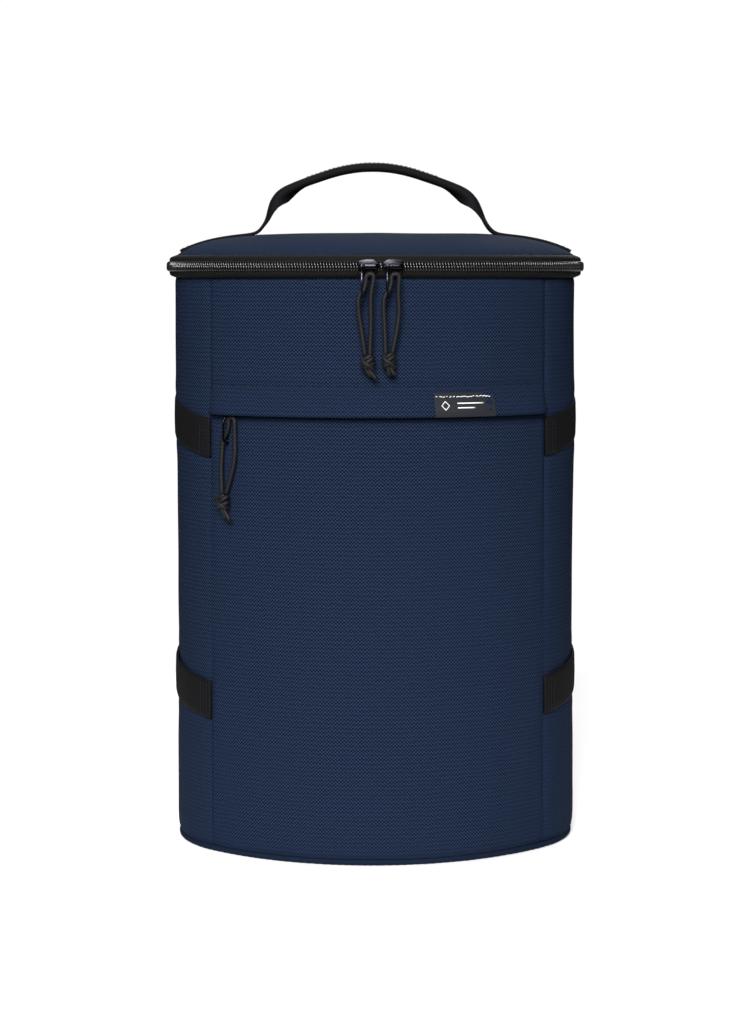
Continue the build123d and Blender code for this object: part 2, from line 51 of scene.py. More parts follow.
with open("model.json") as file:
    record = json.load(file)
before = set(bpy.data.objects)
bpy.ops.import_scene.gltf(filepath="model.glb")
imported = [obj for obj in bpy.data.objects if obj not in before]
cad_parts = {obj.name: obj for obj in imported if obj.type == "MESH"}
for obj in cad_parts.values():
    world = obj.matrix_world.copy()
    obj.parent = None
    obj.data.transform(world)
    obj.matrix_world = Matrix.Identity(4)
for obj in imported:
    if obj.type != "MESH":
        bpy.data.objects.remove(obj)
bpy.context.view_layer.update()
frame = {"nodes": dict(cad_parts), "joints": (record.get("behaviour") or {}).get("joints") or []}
MM = 0.001

# Plan outline: four tangent arcs, wide ones at the front and back, tight ones at the sides
HALF_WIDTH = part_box("side_panel_right")[1].x
HALF_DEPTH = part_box("back_panel")[1].y
FRONT_RADIUS = 165 * MM
SIDE_RADIUS = (2 * FRONT_RADIUS * HALF_DEPTH - HALF_DEPTH**2 - HALF_WIDTH**2) / (
    2 * (FRONT_RADIUS - HALF_WIDTH)
)
SIDE_CENTRE = HALF_WIDTH - SIDE_RADIUS
FRONT_CENTRE = FRONT_RADIUS - HALF_DEPTH
SEAM = math.atan2(SIDE_CENTRE, FRONT_CENTRE)
FRONT_HALF = FRONT_RADIUS * SEAM
SIDE_RUN = SIDE_RADIUS * (math.pi - 2 * SEAM)
ROUND = 4 * FRONT_HALF + 2 * SIDE_RUN
# Thickness of the outer cloth
CLOTH = 0.9 * MM

# Heights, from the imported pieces
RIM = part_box("front_panel")[1].z
POCKET_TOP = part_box("pocket_panel")[1].z
LID_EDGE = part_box("lid_panel")[0].z + 1.0 * MM
LID_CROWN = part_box("lid_panel")[1].z
ZIP_HEIGHT = (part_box("zip_coil_body")[1].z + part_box("zip_coil_lid")[0].z) / 2
POCKET_ZIP = (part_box("pocket_zip_coil_lower")[1].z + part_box("pocket_zip_coil_upper")[0].z) / 2
PIVOTS = {joint["name"]: Vector(joint["pos_m"]) for joint in frame["joints"]}


# ---------------------------------------------------------------- sizes and colours


class CoolerSizes(bpy.types.PropertyGroup):
    """Sizes of the sewn and woven detail."""

    cord_diameter: bpy.props.FloatProperty(
        name="Cord diameter", description="Thickness of the braided pull cord", default=2.9 * MM,
        unit="LENGTH",
    )
    webbing_width: bpy.props.FloatProperty(
        name="Webbing width", description="Width of the straps and the handle, opened flat",
        default=25 * MM, unit="LENGTH",
    )
    webbing_thickness: bpy.props.FloatProperty(
        name="Webbing thickness", description="Thickness of one layer of webbing", default=1.8 * MM,
        unit="LENGTH",
    )
    rib_pitch: bpy.props.FloatProperty(
        name="Rib pitch", description="Distance from rib to rib along the webbing", default=1.5 * MM,
        unit="LENGTH",
    )
    stitch_length: bpy.props.FloatProperty(
        name="Stitch length", description="Length of one lockstitch", default=3.0 * MM, unit="LENGTH"
    )
    coil_pitch: bpy.props.FloatProperty(
        name="Coil pitch", description="Distance from turn to turn of the rim zip's coil", default=1.8 * MM,
        unit="LENGTH",
    )
    slack: bpy.props.FloatProperty(
        name="Cloth slack", description="Height of the soft waves in the outer cloth", default=0.9 * MM,
        unit="LENGTH",
    )


def hex_colour(name, code, description):
    """Colour property from an sRGB hex value."""
    return bpy.props.FloatVectorProperty(
        name=name, description=description, subtype="COLOR", size=3, min=0.0, max=1.0, default=linear(code)
    )


def linear(code):
    """Linear colour from an sRGB hex value."""
    channels = [int(code[i : i + 2], 16) / 255 for i in (1, 3, 5)]
    return tuple(c / 12.92 if c <= 0.04045 else ((c + 0.055) / 1.055) ** 2.4 for c in channels)


class CoolerColours(bpy.types.PropertyGroup):
    """Colours of the bag's cloth, webbing and metal."""

    # The cloth's two colours are one navy: the first is painted light on the raised threads, the second is
    # painted shade in the hollows between them and also the navy thread's own colour
    lit_weave: hex_colour("Cloth warp", "#1d2940", "Lit threads of the navy polyester")
    weave_shade_and_navy_thread: hex_colour("Cloth weft", "#05080e", "Shaded threads of the navy polyester")
    webbing: hex_colour("Webbing", "#08080a", "Black polyester webbing")
    tape: hex_colour("Zip tape", "#0b0b0c", "Black knitted zip tape")
    coil: hex_colour("Zip coil", "#0c0c0f", "Black nylon coil")
    metal: hex_colour("Slider metal", "#1d1d21", "Black nickel plating")
    cord: hex_colour("Cord", "#08080a", "Black braided polyester")
    label: hex_colour("Label", "#1e1f24", "Charcoal damask")
    thread: hex_colour("White thread", "#e4e4e2", "Thread that holds the label")
    liner: hex_colour("Liner", "#8f9398", "Silver film")
    foam: hex_colour("Foam", "#e2e1dc", "Closed-cell foam")


def sizes():
    return bpy.context.scene.cooler_sizes


def colours():
    return bpy.context.scene.cooler_colours


# ---------------------------------------------------------------- places on the bag


def plan(s, grow=0.0):
    """Point on the outline at distance s round it from the middle of the front, and the outward direction."""
    s = (s + FRONT_HALF) % ROUND - FRONT_HALF
    if s < FRONT_HALF:
        x, y, radius, angle = 0, FRONT_CENTRE, FRONT_RADIUS, s / FRONT_RADIUS
    elif s < FRONT_HALF + SIDE_RUN:
        x, y, radius = SIDE_CENTRE, 0, SIDE_RADIUS
        angle = SEAM + (s - FRONT_HALF) / SIDE_RADIUS
    elif s < 3 * FRONT_HALF + SIDE_RUN:
        x, y, radius = 0, -FRONT_CENTRE, FRONT_RADIUS
        angle = math.pi - SEAM + (s - FRONT_HALF - SIDE_RUN) / FRONT_RADIUS
    else:
        x, y, radius = -SIDE_CENTRE, 0, SIDE_RADIUS
        angle = math.pi + SEAM + (s - 3 * FRONT_HALF - SIDE_RUN) / SIDE_RADIUS
    out = Vector((math.sin(angle), -math.cos(angle), 0))
    return Vector((x, y, 0)) + out * (radius + grow), out


def on_wall(s, grow, z):
    """Point at distance s round the wall, grow outside the outline, z up."""
    point, _ = plan(s, grow)
    point.z = z
    return point


def spread(start, end, step):
    """Evenly spaced numbers from start to end, about step apart."""
    count = max(2, round(abs(end - start) / step) + 1)
    return [start + (end - start) * i / (count - 1) for i in range(count)]


def distances(points):
    """Distance along a line to each of its points."""
    walked = [0.0]
    for a, b in zip(points, points[1:]):
        walked.append(walked[-1] + (b - a).length)
    return walked


def resampled(points, step):
    """Points about step apart along a polyline, its own corners kept, with the distance to each."""
    found, walked = [], []
    total = 0.0
    for a, b in zip(points, points[1:]):
        run = (Vector(b) - Vector(a)).length
        parts = max(1, round(run / step))
        for i in range(parts):
            found.append(Vector(a).lerp(Vector(b), i / parts))
            walked.append(total + run * i / parts)
        total += run
    found.append(Vector(points[-1]))
    walked.append(total)
    return found, walked


def softened(points, rounds=2):
    """Polyline with its corners cut round, ends kept."""
    points = [Vector(p) for p in points]
    for _ in range(rounds):
        cut = [points[0]]
        for a, b in zip(points, points[1:]):
            cut += [a.lerp(b, 0.25), a.lerp(b, 0.75)]
        points = [*cut, points[-1]]
    return points


def wave(s, z, size, seed):
    """Smooth unevenness between -1 and 1, with bumps about size across."""
    return noise.noise(Vector((s / size, z / size, seed)))


SEAMS = (FRONT_HALF, FRONT_HALF + SIDE_RUN, -FRONT_HALF, -FRONT_HALF - SIDE_RUN)


def seam_distance(s):
    """Distance round the wall to the nearest upright seam."""
    s = (s + ROUND / 2) % ROUND - ROUND / 2
    return min(abs(s - seam) for seam in SEAMS)


# From the middle of a side to its seams, front to back
STRAP_HALF_DEPTH = 52 * MM


def strap_height(s, front_height, rise):
    """Height of a strap's middle at distance s, from a side's front seam to its back seam."""
    y = plan(s)[0].y
    return front_height + rise * (1 + y / STRAP_HALF_DEPTH)


# Each strap's side, left (-1) or right (1), its height at the front and its rise to the middle of the side
STRAPS = {
    "strap_upper_left": (-1, 268.0 * MM, 12.8 * MM),
    "strap_lower_left": (-1, 98.6 * MM, 11.0 * MM),
    "strap_upper_right": (1, 268.4 * MM, 11.6 * MM),
    "strap_lower_right": (1, 100.8 * MM, 10.2 * MM),
}


def relief(s, z):
    """How far the outer cloth stands out from the plain wall: slack, seams drawn in, and puckers."""
    slack = sizes().slack
    around = s / ROUND * 2 * math.pi
    ring = Vector((math.cos(around), math.sin(around), 0))
    out = slack * (noise.noise(Vector((ring.x * 1.9, ring.y * 1.9, z * 7 + 3))) * 0.9)
    out += slack * 0.35 * noise.noise(Vector((ring.x * 6, ring.y * 6, z * 22 + 9)))
    gap = seam_distance(s)
    out += 0.75 * MM * (1 - math.exp(-gap / (14 * MM)))
    out -= 0.9 * MM * math.exp(-(((z - 165 * MM) / (85 * MM)) ** 4))
    out -= 0.75 * MM * math.exp(-((gap / (2.0 * MM)) ** 2))
    ripple = math.sin(2 * math.pi * z / (7.4 * MM) + 5 * wave(s, z, 40 * MM, 2))
    out += 0.28 * MM * ripple * math.exp(-gap / (4.5 * MM)) * (0.6 + 0.6 * wave(s, z, 25 * MM, 5))
    foot = z - 5 * MM
    gather = math.sin(2 * math.pi * s / (11 * MM) + 6 * wave(s, z, 60 * MM, 7))
    out += 0.35 * MM * gather * math.exp(-abs(foot) / (9 * MM)) * (0.5 + wave(s, z, 45 * MM, 8))
    rim = RIM - z
    tuck = math.sin(2 * math.pi * s / (8.5 * MM) + 5 * wave(s, z, 50 * MM, 12))
    out += 0.22 * MM * tuck * math.exp(-max(0, rim) / (6 * MM)) * (0.6 + wave(s, z, 35 * MM, 13))
    out -= 0.5 * MM * math.exp(-((rim / (2.0 * MM)) ** 2))
    centred = (s + ROUND / 2) % ROUND - ROUND / 2
    if FRONT_HALF < abs(centred) < FRONT_HALF + SIDE_RUN:
        for side, height, rise in STRAPS.values():
            if side * centred > 0:
                off = abs(z - strap_height(s, height, rise)) / (13 * MM)
                out -= 0.55 * MM * math.exp(-(off**4)) - 0.25 * MM * math.exp(-((off - 1.5) ** 2) * 6)
    return max(out, (-0.55 if z < 30 * MM else -0.95) * MM)


# ---------------------------------------------------------------- mesh making


def shown(name, data):
    """A new object in the scene."""
    made = bpy.data.objects.new(name, data)
    bpy.context.scene.collection.objects.link(made)
    return made


def grid(name, rows, flat, close_rows=False, close_columns=False):
    """Mesh from rows of points. flat holds each point's place on the cloth laid flat, in metres."""
    mesh = bpy.data.meshes.new(name)
    high, wide = len(rows), len(rows[0])
    vertices = [tuple(p) for row in rows for p in row]
    faces, corners = [], []
    for r in range(high if close_rows else high - 1):
        for c in range(wide if close_columns else wide - 1):
            up, right = (r + 1) % high, (c + 1) % wide
            faces.append((r * wide + c, r * wide + right, up * wide + right, up * wide + c))
            corners.append((flat(r, c), flat(r, c + 1), flat(r + 1, c + 1), flat(r + 1, c)))
    mesh.from_pydata(vertices, [], faces)
    layer = mesh.uv_layers.new(name="cloth")
    layer.data.foreach_set("uv", [x for face in corners for corner in face for x in corner])
    mesh.shade_smooth()
    return shown(name, mesh)


def settled(made):
    """Apply an object's modifiers to its mesh."""
    bpy.context.view_layer.update()
    shape = made.evaluated_get(bpy.context.evaluated_depsgraph_get())
    mesh = bpy.data.meshes.new_from_object(shape)
    made.modifiers.clear()
    made.data = mesh
    return made


def closed_up(made):
    """Cap a strip's open ends and turn all its faces outwards."""
    mesh = bmesh.new()
    mesh.from_mesh(made.data)
    bmesh.ops.holes_fill(mesh, edges=[e for e in mesh.edges if e.is_boundary], sides=0)
    bmesh.ops.recalc_face_normals(mesh, faces=mesh.faces)
    mesh.to_mesh(made.data)
    mesh.free()
    made.data.shade_smooth()
    return made


def thickened(made, thickness, offset=-1.0):
    """Give an open sheet its thickness, inwards from the outer face."""
    solid = made.modifiers.new("thickness", "SOLIDIFY")
    solid.thickness = thickness
    solid.offset = offset
    solid.use_even_offset = True
    return settled(made)


def joined(name, pieces):
    """One object from several."""
    mesh = bmesh.new()
    for piece in pieces:
        piece.data.transform(piece.matrix_world)
        mesh.from_mesh(piece.data)
    merged = bpy.data.meshes.new(name)
    mesh.to_mesh(merged)
    mesh.free()
    merged.shade_smooth()
    for piece in pieces:
        bpy.data.objects.remove(piece)
    return shown(name, merged)


def dressed(made, finish):
    """Put a material on a piece."""
    made.data.materials.clear()
    made.data.materials.append(finish)
    return made


def placed(made, material, slot, body, *nodes):
    """Dress a piece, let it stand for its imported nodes, and let it ride on its body."""
    dressed(made, finish(material))
    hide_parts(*nodes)
    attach(made, body)


def wall_sheet(name, start, end, profile, thickness, step=2.2 * MM, rough=relief, flare=None):
    """Cloth between two distances round the wall, with a profile of (grow, z) points in millimetres."""
    line, walked = resampled([(g * MM, z * MM) for g, z in profile], step)
    columns = spread(start, end, step)
    if seam_distance(start) < 1 * MM or seam_distance(end) < 1 * MM:
        fine = [start + (end - start) * t for t in (0.0035, 0.007, 0.0125, 0.9875, 0.993, 0.9965)]
        columns = sorted({*columns, *fine}, reverse=end < start)
    rows = []
    for grow, z in line:
        row = []
        for s in columns:
            out = grow if flare is None else flare(s, grow, z)
            row.append(on_wall(s, out + rough(s, z), z))
        rows.append(row)
    made = grid(name, rows, lambda r, c: (columns[min(c, len(columns) - 1)], walked[min(r, len(walked) - 1)]))
    return thickened(made, thickness)


def frames_along(points):
    """Direction, side and up at each point of a line, turned as little as possible from one to the next."""
    count = len(points)
    ahead = [(points[min(i + 1, count - 1)] - points[max(i - 1, 0)]).normalized() for i in range(count)]
    side = ahead[0].orthogonal().normalized()
    frames = []
    for direction in ahead:
        side = (side - direction * side.dot(direction)).normalized()
        frames.append((direction, side, direction.cross(side)))
    return frames


def tube(name, points, radius, around):
    """Closed tube along points. radius is a function of (distance, angle)."""
    frames = frames_along(points)
    walked = distances(points)
    rows = []
    for point, (_, side, up), far in zip(points, frames, walked):
        ring = []
        for i in range(around):
            angle = 2 * math.pi * i / around
            ring.append(point + (side * math.cos(angle) + up * math.sin(angle)) * radius(far, angle))
        rows.append(ring)
    girth = 2 * math.pi * radius(0, 0)
    last = len(walked) - 1
    made = grid(name, rows, lambda r, c: (girth * c / around, walked[min(r, last)]), close_columns=True)
    return closed_up(made)


def smooth_line(points, detail=24):
    """Points along a smooth NURBS curve that has the given points as its control points."""
    curve = bpy.data.curves.new("line", "CURVE")
    curve.dimensions = "3D"
    spline = curve.splines.new("NURBS")
    spline.points.add(len(points) - 1)
    for at, point in zip(spline.points, points):
        at.co = (*point, 1.0)
    spline.order_u = 3
    spline.use_endpoint_u = True
    spline.resolution_u = detail
    holder = shown("line", curve)
    bpy.context.view_layer.update()
    mesh = bpy.data.meshes.new_from_object(holder)
    found = [v.co.copy() for v in mesh.vertices]
    bpy.data.objects.remove(holder)
    bpy.data.meshes.remove(mesh)
    return found


def evenly(points, step):
    """Points a fixed step apart along a line."""
    walked = distances(points)
    found, at = [], 0
    for far in spread(0, walked[-1], step):
        while at < len(walked) - 2 and walked[at + 1] < far:
            at += 1
        run = max(walked[at + 1] - walked[at], 1e-9)
        found.append(points[at].lerp(points[at + 1], min(1, max(0, (far - walked[at]) / run))))
    return found


def stitches(name, line, normals, finish, thread=0.42 * MM, length=None, gap=0.22, uneven=0.05):
    """A row of lockstitches: each thread rises from one hole, lies on the cloth and dips into the next."""
    length = length or sizes().stitch_length
    luck = random.Random(name)
    walked = distances(line)
    vertices, faces = [], []
    far, at = 0.0, 0
    while far + length < walked[-1]:
        span = length * (1 - gap + uneven * luck.uniform(-1, 1))
        rings = []
        for share, rise, fat in (
            (0, -0.5, 0.55), (0.12, 0.3, 0.9), (0.5, 0.55, 1), (0.88, 0.3, 0.9), (1, -0.5, 0.55)
        ):
            spot = far + span * share
            while at < len(walked) - 2 and walked[at + 1] < spot:
                at += 1
            t = (spot - walked[at]) / max(walked[at + 1] - walked[at], 1e-9)
            point = line[at].lerp(line[at + 1], min(1, max(0, t)))
            normal = normals[at]
            ahead = (line[at + 1] - line[at]).normalized()
            across = ahead.cross(normal).normalized()
            centre = point + normal * rise * thread + across * luck.uniform(-uneven, uneven) * thread
            rings.append(
                [
                    centre + (across * math.cos(a) + normal * 0.8 * math.sin(a)) * fat * thread / 2
                    for a in (0, math.pi / 3, 2 * math.pi / 3, math.pi, 4 * math.pi / 3, 5 * math.pi / 3)
                ]
            )
        at = max(0, at - 6)
        first = len(vertices)
        vertices += [p for ring in rings for p in ring]
        for r in range(4):
            for c in range(6):
                a, b = first + r * 6 + c, first + r * 6 + (c + 1) % 6
                faces.append((a, b, b + 6, a + 6))
        faces.append(tuple(first + c for c in reversed(range(6))))
        faces.append(tuple(first + 24 + c for c in range(6)))
        far += length
    mesh = bpy.data.meshes.new(name)
    mesh.from_pydata([tuple(v) for v in vertices], [], faces)
    mesh.shade_smooth()
    return dressed(shown(name, mesh), finish)


# ---------------------------------------------------------------- materials


def add(tree, kind, inputs=None, **settings):
    """Add a node with its settings, and set or link its inputs."""
    made = tree.nodes.new(kind)
    for name, value in settings.items():
        setattr(made, name, value)
    for key, value in (inputs or {}).items():
        if isinstance(value, bpy.types.NodeSocket):
            tree.links.new(value, made.inputs[key])
        else:
            made.inputs[key].default_value = value
    return made


def started(name, **shader):
    """A material with one shader, its constant values set on the shader itself."""
    made = bpy.data.materials.new(name)
    made.use_nodes = True
    made.node_tree.nodes.clear()
    surface = add(
        made.node_tree, "ShaderNodeBsdfPrincipled", {k.replace("_", " "): v for k, v in shader.items()}
    )
    add(made.node_tree, "ShaderNodeOutputMaterial", {"Surface": surface.outputs[0]})
    return made, made.node_tree, surface


def opaque(colour, share=1.0):
    return (*(c * share for c in colour), 1.0)


def polyester_cloth(name, lit_weave, weave_shade_and_navy_thread, spacing=1.1 * MM, row=2.8 * MM, bump=0.7):
    """Plain woven 600 denier polyester: crossing threads make it look finely chequered and soft, with painted
    light on the raised threads and painted shade in the hollows between them.
    """
    made, tree, surface = started(name, Roughness=0.85, IOR=1.5)
    surface.inputs["Specular IOR Level"].default_value = 0.03
    flat = add(tree, "ShaderNodeUVMap", uv_map="cloth")
    # Threads are 0.45 mm apart on the real cloth and drawn 1.1 mm apart, the finest that shows
    threads = add(
        tree, "ShaderNodeVectorMath", {0: flat.outputs[0], 1: (math.pi / spacing,) * 3},
        operation="MULTIPLY",
    )
    parts = add(tree, "ShaderNodeSeparateXYZ", {0: threads.outputs[0]})
    across = add(tree, "ShaderNodeMath", {0: parts.outputs[0]}, operation="SINE")
    along = add(tree, "ShaderNodeMath", {0: parts.outputs[1]}, operation="SINE")
    over = add(tree, "ShaderNodeMath", {0: across.outputs[0], 1: along.outputs[0]}, operation="MULTIPLY")
    # A slightly thicker pick every few threads gives faint rows across the cloth
    slub = add(tree, "ShaderNodeTexNoise", {"Vector": flat.outputs[0], "Scale": 1 / (9 * MM), "Detail": 2.0})
    bend = add(tree, "ShaderNodeMath", {0: slub.outputs[0], 1: 5.0}, operation="MULTIPLY")
    lines = add(
        tree, "ShaderNodeVectorMath", {0: flat.outputs[0], 1: (0, 2 * math.pi / row, 0)},
        operation="DOT_PRODUCT",
    )
    shifted = add(tree, "ShaderNodeMath", {0: lines.outputs["Value"], 1: bend.outputs[0]}, operation="ADD")
    rows = add(tree, "ShaderNodeMath", {0: shifted.outputs[0]}, operation="SINE")
    mottle = add(
        tree, "ShaderNodeTexNoise",
        {"Vector": flat.outputs[0], "Scale": 1 / (1.5 * MM), "Detail": 3.0, "Roughness": 0.75},
    )
    weave = add(tree, "ShaderNodeMath", {0: over.outputs[0], 1: 0.95, 2: 0.5}, operation="MULTIPLY_ADD")
    ribbed = add(
        tree, "ShaderNodeMath", {0: rows.outputs[0], 1: 0.16, 2: weave.outputs[0]}, operation="MULTIPLY_ADD"
    )
    spotted = add(
        tree, "ShaderNodeMath", {0: mottle.outputs[0], 1: 0.9, 2: ribbed.outputs[0]},
        operation="MULTIPLY_ADD",
    )
    shift = add(
        tree, "ShaderNodeMath", {0: spotted.outputs[0], 1: 0.45}, operation="SUBTRACT", use_clamp=True
    )
    # Painted light and shade: the lit colour where the weave, rows and mottle stand high and the shaded colour
    # where they sink, following the same height as the bump
    tone = add(
        tree, "ShaderNodeMix", {"Factor": shift.outputs[0], "A": opaque(weave_shade_and_navy_thread), "B": opaque(lit_weave)},
        data_type="RGBA",
    )
    tree.links.new(tone.outputs["Result"], surface.inputs["Base Color"])
    height = add(
        tree, "ShaderNodeBump", {"Strength": bump, "Distance": 0.25 * MM, "Height": shift.outputs[0]}
    )
    tree.links.new(height.outputs[0], surface.inputs["Normal"])
    return made


def ribbed_weave(name, colour, thread, warp_pitch, roughness=0.75, bump=0.5, contrast=0.55):
    """Tight woven or knitted polyester tape: rows of small loops, painted lighter on their tops and darker
    between them as painted light and shade, so black but never flat.
    """
    made, tree, surface = started(name, Roughness=roughness, IOR=1.5)
    surface.inputs["Specular IOR Level"].default_value = 0.10
    flat = add(tree, "ShaderNodeUVMap", uv_map="cloth")
    scaled = add(tree, "ShaderNodeVectorMath",
                 {0: flat.outputs[0], 1: (math.pi / thread, math.pi / warp_pitch, 0)}, operation="MULTIPLY")
    parts = add(tree, "ShaderNodeSeparateXYZ", {0: scaled.outputs[0]})
    across = add(tree, "ShaderNodeMath", {0: parts.outputs[0]}, operation="SINE")
    along = add(tree, "ShaderNodeMath", {0: parts.outputs[1]}, operation="SINE")
    loops = add(tree, "ShaderNodeMath", {0: across.outputs[0], 1: along.outputs[0]}, operation="MULTIPLY")
    height = add(tree, "ShaderNodeMath", {0: loops.outputs[0], 1: 0.5, 2: 0.5}, operation="MULTIPLY_ADD")
    fuzz = add(
        tree, "ShaderNodeTexNoise", {"Vector": flat.outputs[0], "Scale": 1 / (0.9 * MM), "Detail": 3.0}
    )
    spotted = add(
        tree, "ShaderNodeMath", {0: fuzz.outputs[0], 1: 0.5, 2: height.outputs[0]}, operation="MULTIPLY_ADD"
    )
    shade = add(
        tree, "ShaderNodeMath", {0: spotted.outputs[0], 1: 0.25}, operation="SUBTRACT", use_clamp=True
    )
    # Painted light and shade: the tops of the loops get a lighter copy of the colour, and the hollows between
    # them a darker one
    tone = add(
        tree, "ShaderNodeMix",
        {"Factor": shade.outputs[0], "A": opaque(colour, 1 - contrast), "B": opaque(colour, 1 + contrast)},
        data_type="RGBA",
    )
    tree.links.new(tone.outputs["Result"], surface.inputs["Base Color"])
    lift = add(tree, "ShaderNodeBump", {"Strength": bump, "Distance": 0.2 * MM, "Height": shade.outputs[0]})
    tree.links.new(lift.outputs[0], surface.inputs["Normal"])
    return made


def braided_polyester(name, colour):
    """Braided polyester cord: matt filaments, with painted shade in the gaps between the plaits and painted
    light on their crowns.
    """
    made, tree, surface = started(name, Roughness=0.6, IOR=1.5)
    surface.inputs["Specular IOR Level"].default_value = 0.2
    plait = add(tree, "ShaderNodeAttribute", attribute_name="plait")
    place = add(tree, "ShaderNodeNewGeometry")
    fibre = add(
        tree, "ShaderNodeTexNoise", {"Vector": place.outputs[0], "Scale": 1 / (0.35 * MM), "Detail": 2.0}
    )
    mixed = add(tree, "ShaderNodeMath", {0: fibre.outputs[0], 1: 0.6, 2: -0.3}, operation="MULTIPLY_ADD")
    shade = add(
        tree, "ShaderNodeMath", {0: plait.outputs["Fac"], 1: mixed.outputs[0]}, operation="ADD",
        use_clamp=True,
    )
    # Painted shade and light: a quarter of the colour in the gaps between the plaits, about twice it on their
    # crowns
    tone = add(
        tree, "ShaderNodeMix",
        {"Factor": shade.outputs[0], "A": opaque(colour, 0.25), "B": opaque(colour, 2.1)}, data_type="RGBA",
    )
    tree.links.new(tone.outputs["Result"], surface.inputs["Base Color"])
    lift = add(tree, "ShaderNodeBump", {"Strength": 0.25, "Distance": 0.1 * MM, "Height": fibre.outputs[0]})
    tree.links.new(lift.outputs[0], surface.inputs["Normal"])
    return made


def plated_metal(name, colour, roughness, wear):
    """Zinc plated in black nickel: dark and glossy, brighter where handling has polished its edges."""
    made, tree, surface = started(name, Metallic=1.0)
    place = add(tree, "ShaderNodeNewGeometry")
    grain = add(
        tree, "ShaderNodeTexNoise", {"Vector": place.outputs[0], "Scale": 1 / (1.4 * MM), "Detail": 4.0}
    )
    edge = add(
        tree, "ShaderNodeMapRange",
        {
            "Value": place.outputs["Pointiness"], "From Min": 0.50, "From Max": 0.58, "To Min": 0.0,
            "To Max": wear,
        },
    )
    worn = add(
        tree, "ShaderNodeMath", {0: grain.outputs[0], 1: 0.3, 2: edge.outputs[0]}, operation="MULTIPLY_ADD",
        use_clamp=True,
    )
    tone = add(
        tree, "ShaderNodeMix",
        {"Factor": worn.outputs[0], "A": opaque(colour, 0.8), "B": opaque(colour, 2.6)}, data_type="RGBA",
    )
    tree.links.new(tone.outputs["Result"], surface.inputs["Base Color"])
    polish = add(
        tree, "ShaderNodeMapRange",
        {"Value": grain.outputs[0], "To Min": roughness * 0.7, "To Max": roughness * 1.4},
    )
    tree.links.new(polish.outputs[0], surface.inputs["Roughness"])
    lift = add(tree, "ShaderNodeBump", {"Strength": 0.08, "Distance": 0.1 * MM, "Height": grain.outputs[0]})
    tree.links.new(lift.outputs[0], surface.inputs["Normal"])
    return made


def nylon_coil(name, colour):
    """Drawn nylon monofilament: smooth and semi-gloss, with a bright line on each turn."""
    made, tree, surface = started(name, IOR=1.53, Coat_Weight=0.35, Coat_Roughness=0.15)
    place = add(tree, "ShaderNodeNewGeometry")
    grain = add(
        tree, "ShaderNodeTexNoise", {"Vector": place.outputs[0], "Scale": 1 / (3 * MM), "Detail": 2.0}
    )
    tone = add(
        tree, "ShaderNodeMix",
        {"Factor": grain.outputs[0], "A": opaque(colour, 0.7), "B": opaque(colour, 1.35)}, data_type="RGBA",
    )
    tree.links.new(tone.outputs["Result"], surface.inputs["Base Color"])
    gloss = add(tree, "ShaderNodeMapRange", {"Value": grain.outputs[0], "To Min": 0.2, "To Max": 0.34})
    tree.links.new(gloss.outputs[0], surface.inputs["Roughness"])
    return made


def liner_film(name, colour):
    """Silver heat-sealed film: semi-gloss, with soft crinkles that catch the light."""
    made, tree, surface = started(name, Metallic=0.35, IOR=1.5)
    place = add(tree, "ShaderNodeNewGeometry")
    crease = add(
        tree, "ShaderNodeTexNoise",
        {"Vector": place.outputs[0], "Scale": 1 / (16 * MM), "Detail": 5.0, "Distortion": 0.8},
    )
    tone = add(
        tree, "ShaderNodeMix",
        {"Factor": crease.outputs[0], "A": opaque(colour, 0.75), "B": opaque(colour, 1.1)},
        data_type="RGBA",
    )
    tree.links.new(tone.outputs["Result"], surface.inputs["Base Color"])
    gloss = add(tree, "ShaderNodeMapRange", {"Value": crease.outputs[0], "To Min": 0.28, "To Max": 0.48})
    tree.links.new(gloss.outputs[0], surface.inputs["Roughness"])
    lift = add(tree, "ShaderNodeBump", {"Strength": 0.6, "Distance": 1.2 * MM, "Height": crease.outputs[0]})
    tree.links.new(lift.outputs[0], surface.inputs["Normal"])
    return made


def cell_foam(name, colour):
    """Closed-cell polyethylene foam: matt, with fine cells that show as specks."""
    made, tree, surface = started(name, Roughness=0.9, IOR=1.5)
    place = add(tree, "ShaderNodeNewGeometry")
    cells = add(tree, "ShaderNodeTexVoronoi", {"Vector": place.outputs[0], "Scale": 1 / (1.1 * MM)})
    tone = add(
        tree, "ShaderNodeMix",
        {"Factor": cells.outputs["Distance"], "A": opaque(colour, 0.8), "B": opaque(colour, 1.0)},
        data_type="RGBA",
    )
    tree.links.new(tone.outputs["Result"], surface.inputs["Base Color"])
    lift = add(
        tree, "ShaderNodeBump", {"Strength": 0.4, "Distance": 0.3 * MM, "Height": cells.outputs["Distance"]}
    )
    tree.links.new(lift.outputs[0], surface.inputs["Normal"])
    return made


def sewing_thread(name, colour):
    """Twisted polyester sewing thread: fine slanted ply marks and a little sheen."""
    made, tree, surface = started(name, Roughness=0.6, Specular_IOR_Level=0.2, IOR=1.5)
    place = add(tree, "ShaderNodeNewGeometry")
    ply = add(
        tree, "ShaderNodeTexNoise", {"Vector": place.outputs[0], "Scale": 1 / (0.5 * MM), "Detail": 1.0}
    )
    tone = add(
        tree, "ShaderNodeMix",
        {"Factor": ply.outputs[0], "A": opaque(colour, 0.55), "B": opaque(colour, 1.2)}, data_type="RGBA",
    )
    tree.links.new(tone.outputs["Result"], surface.inputs["Base Color"])
    return made


FINISHES = {}


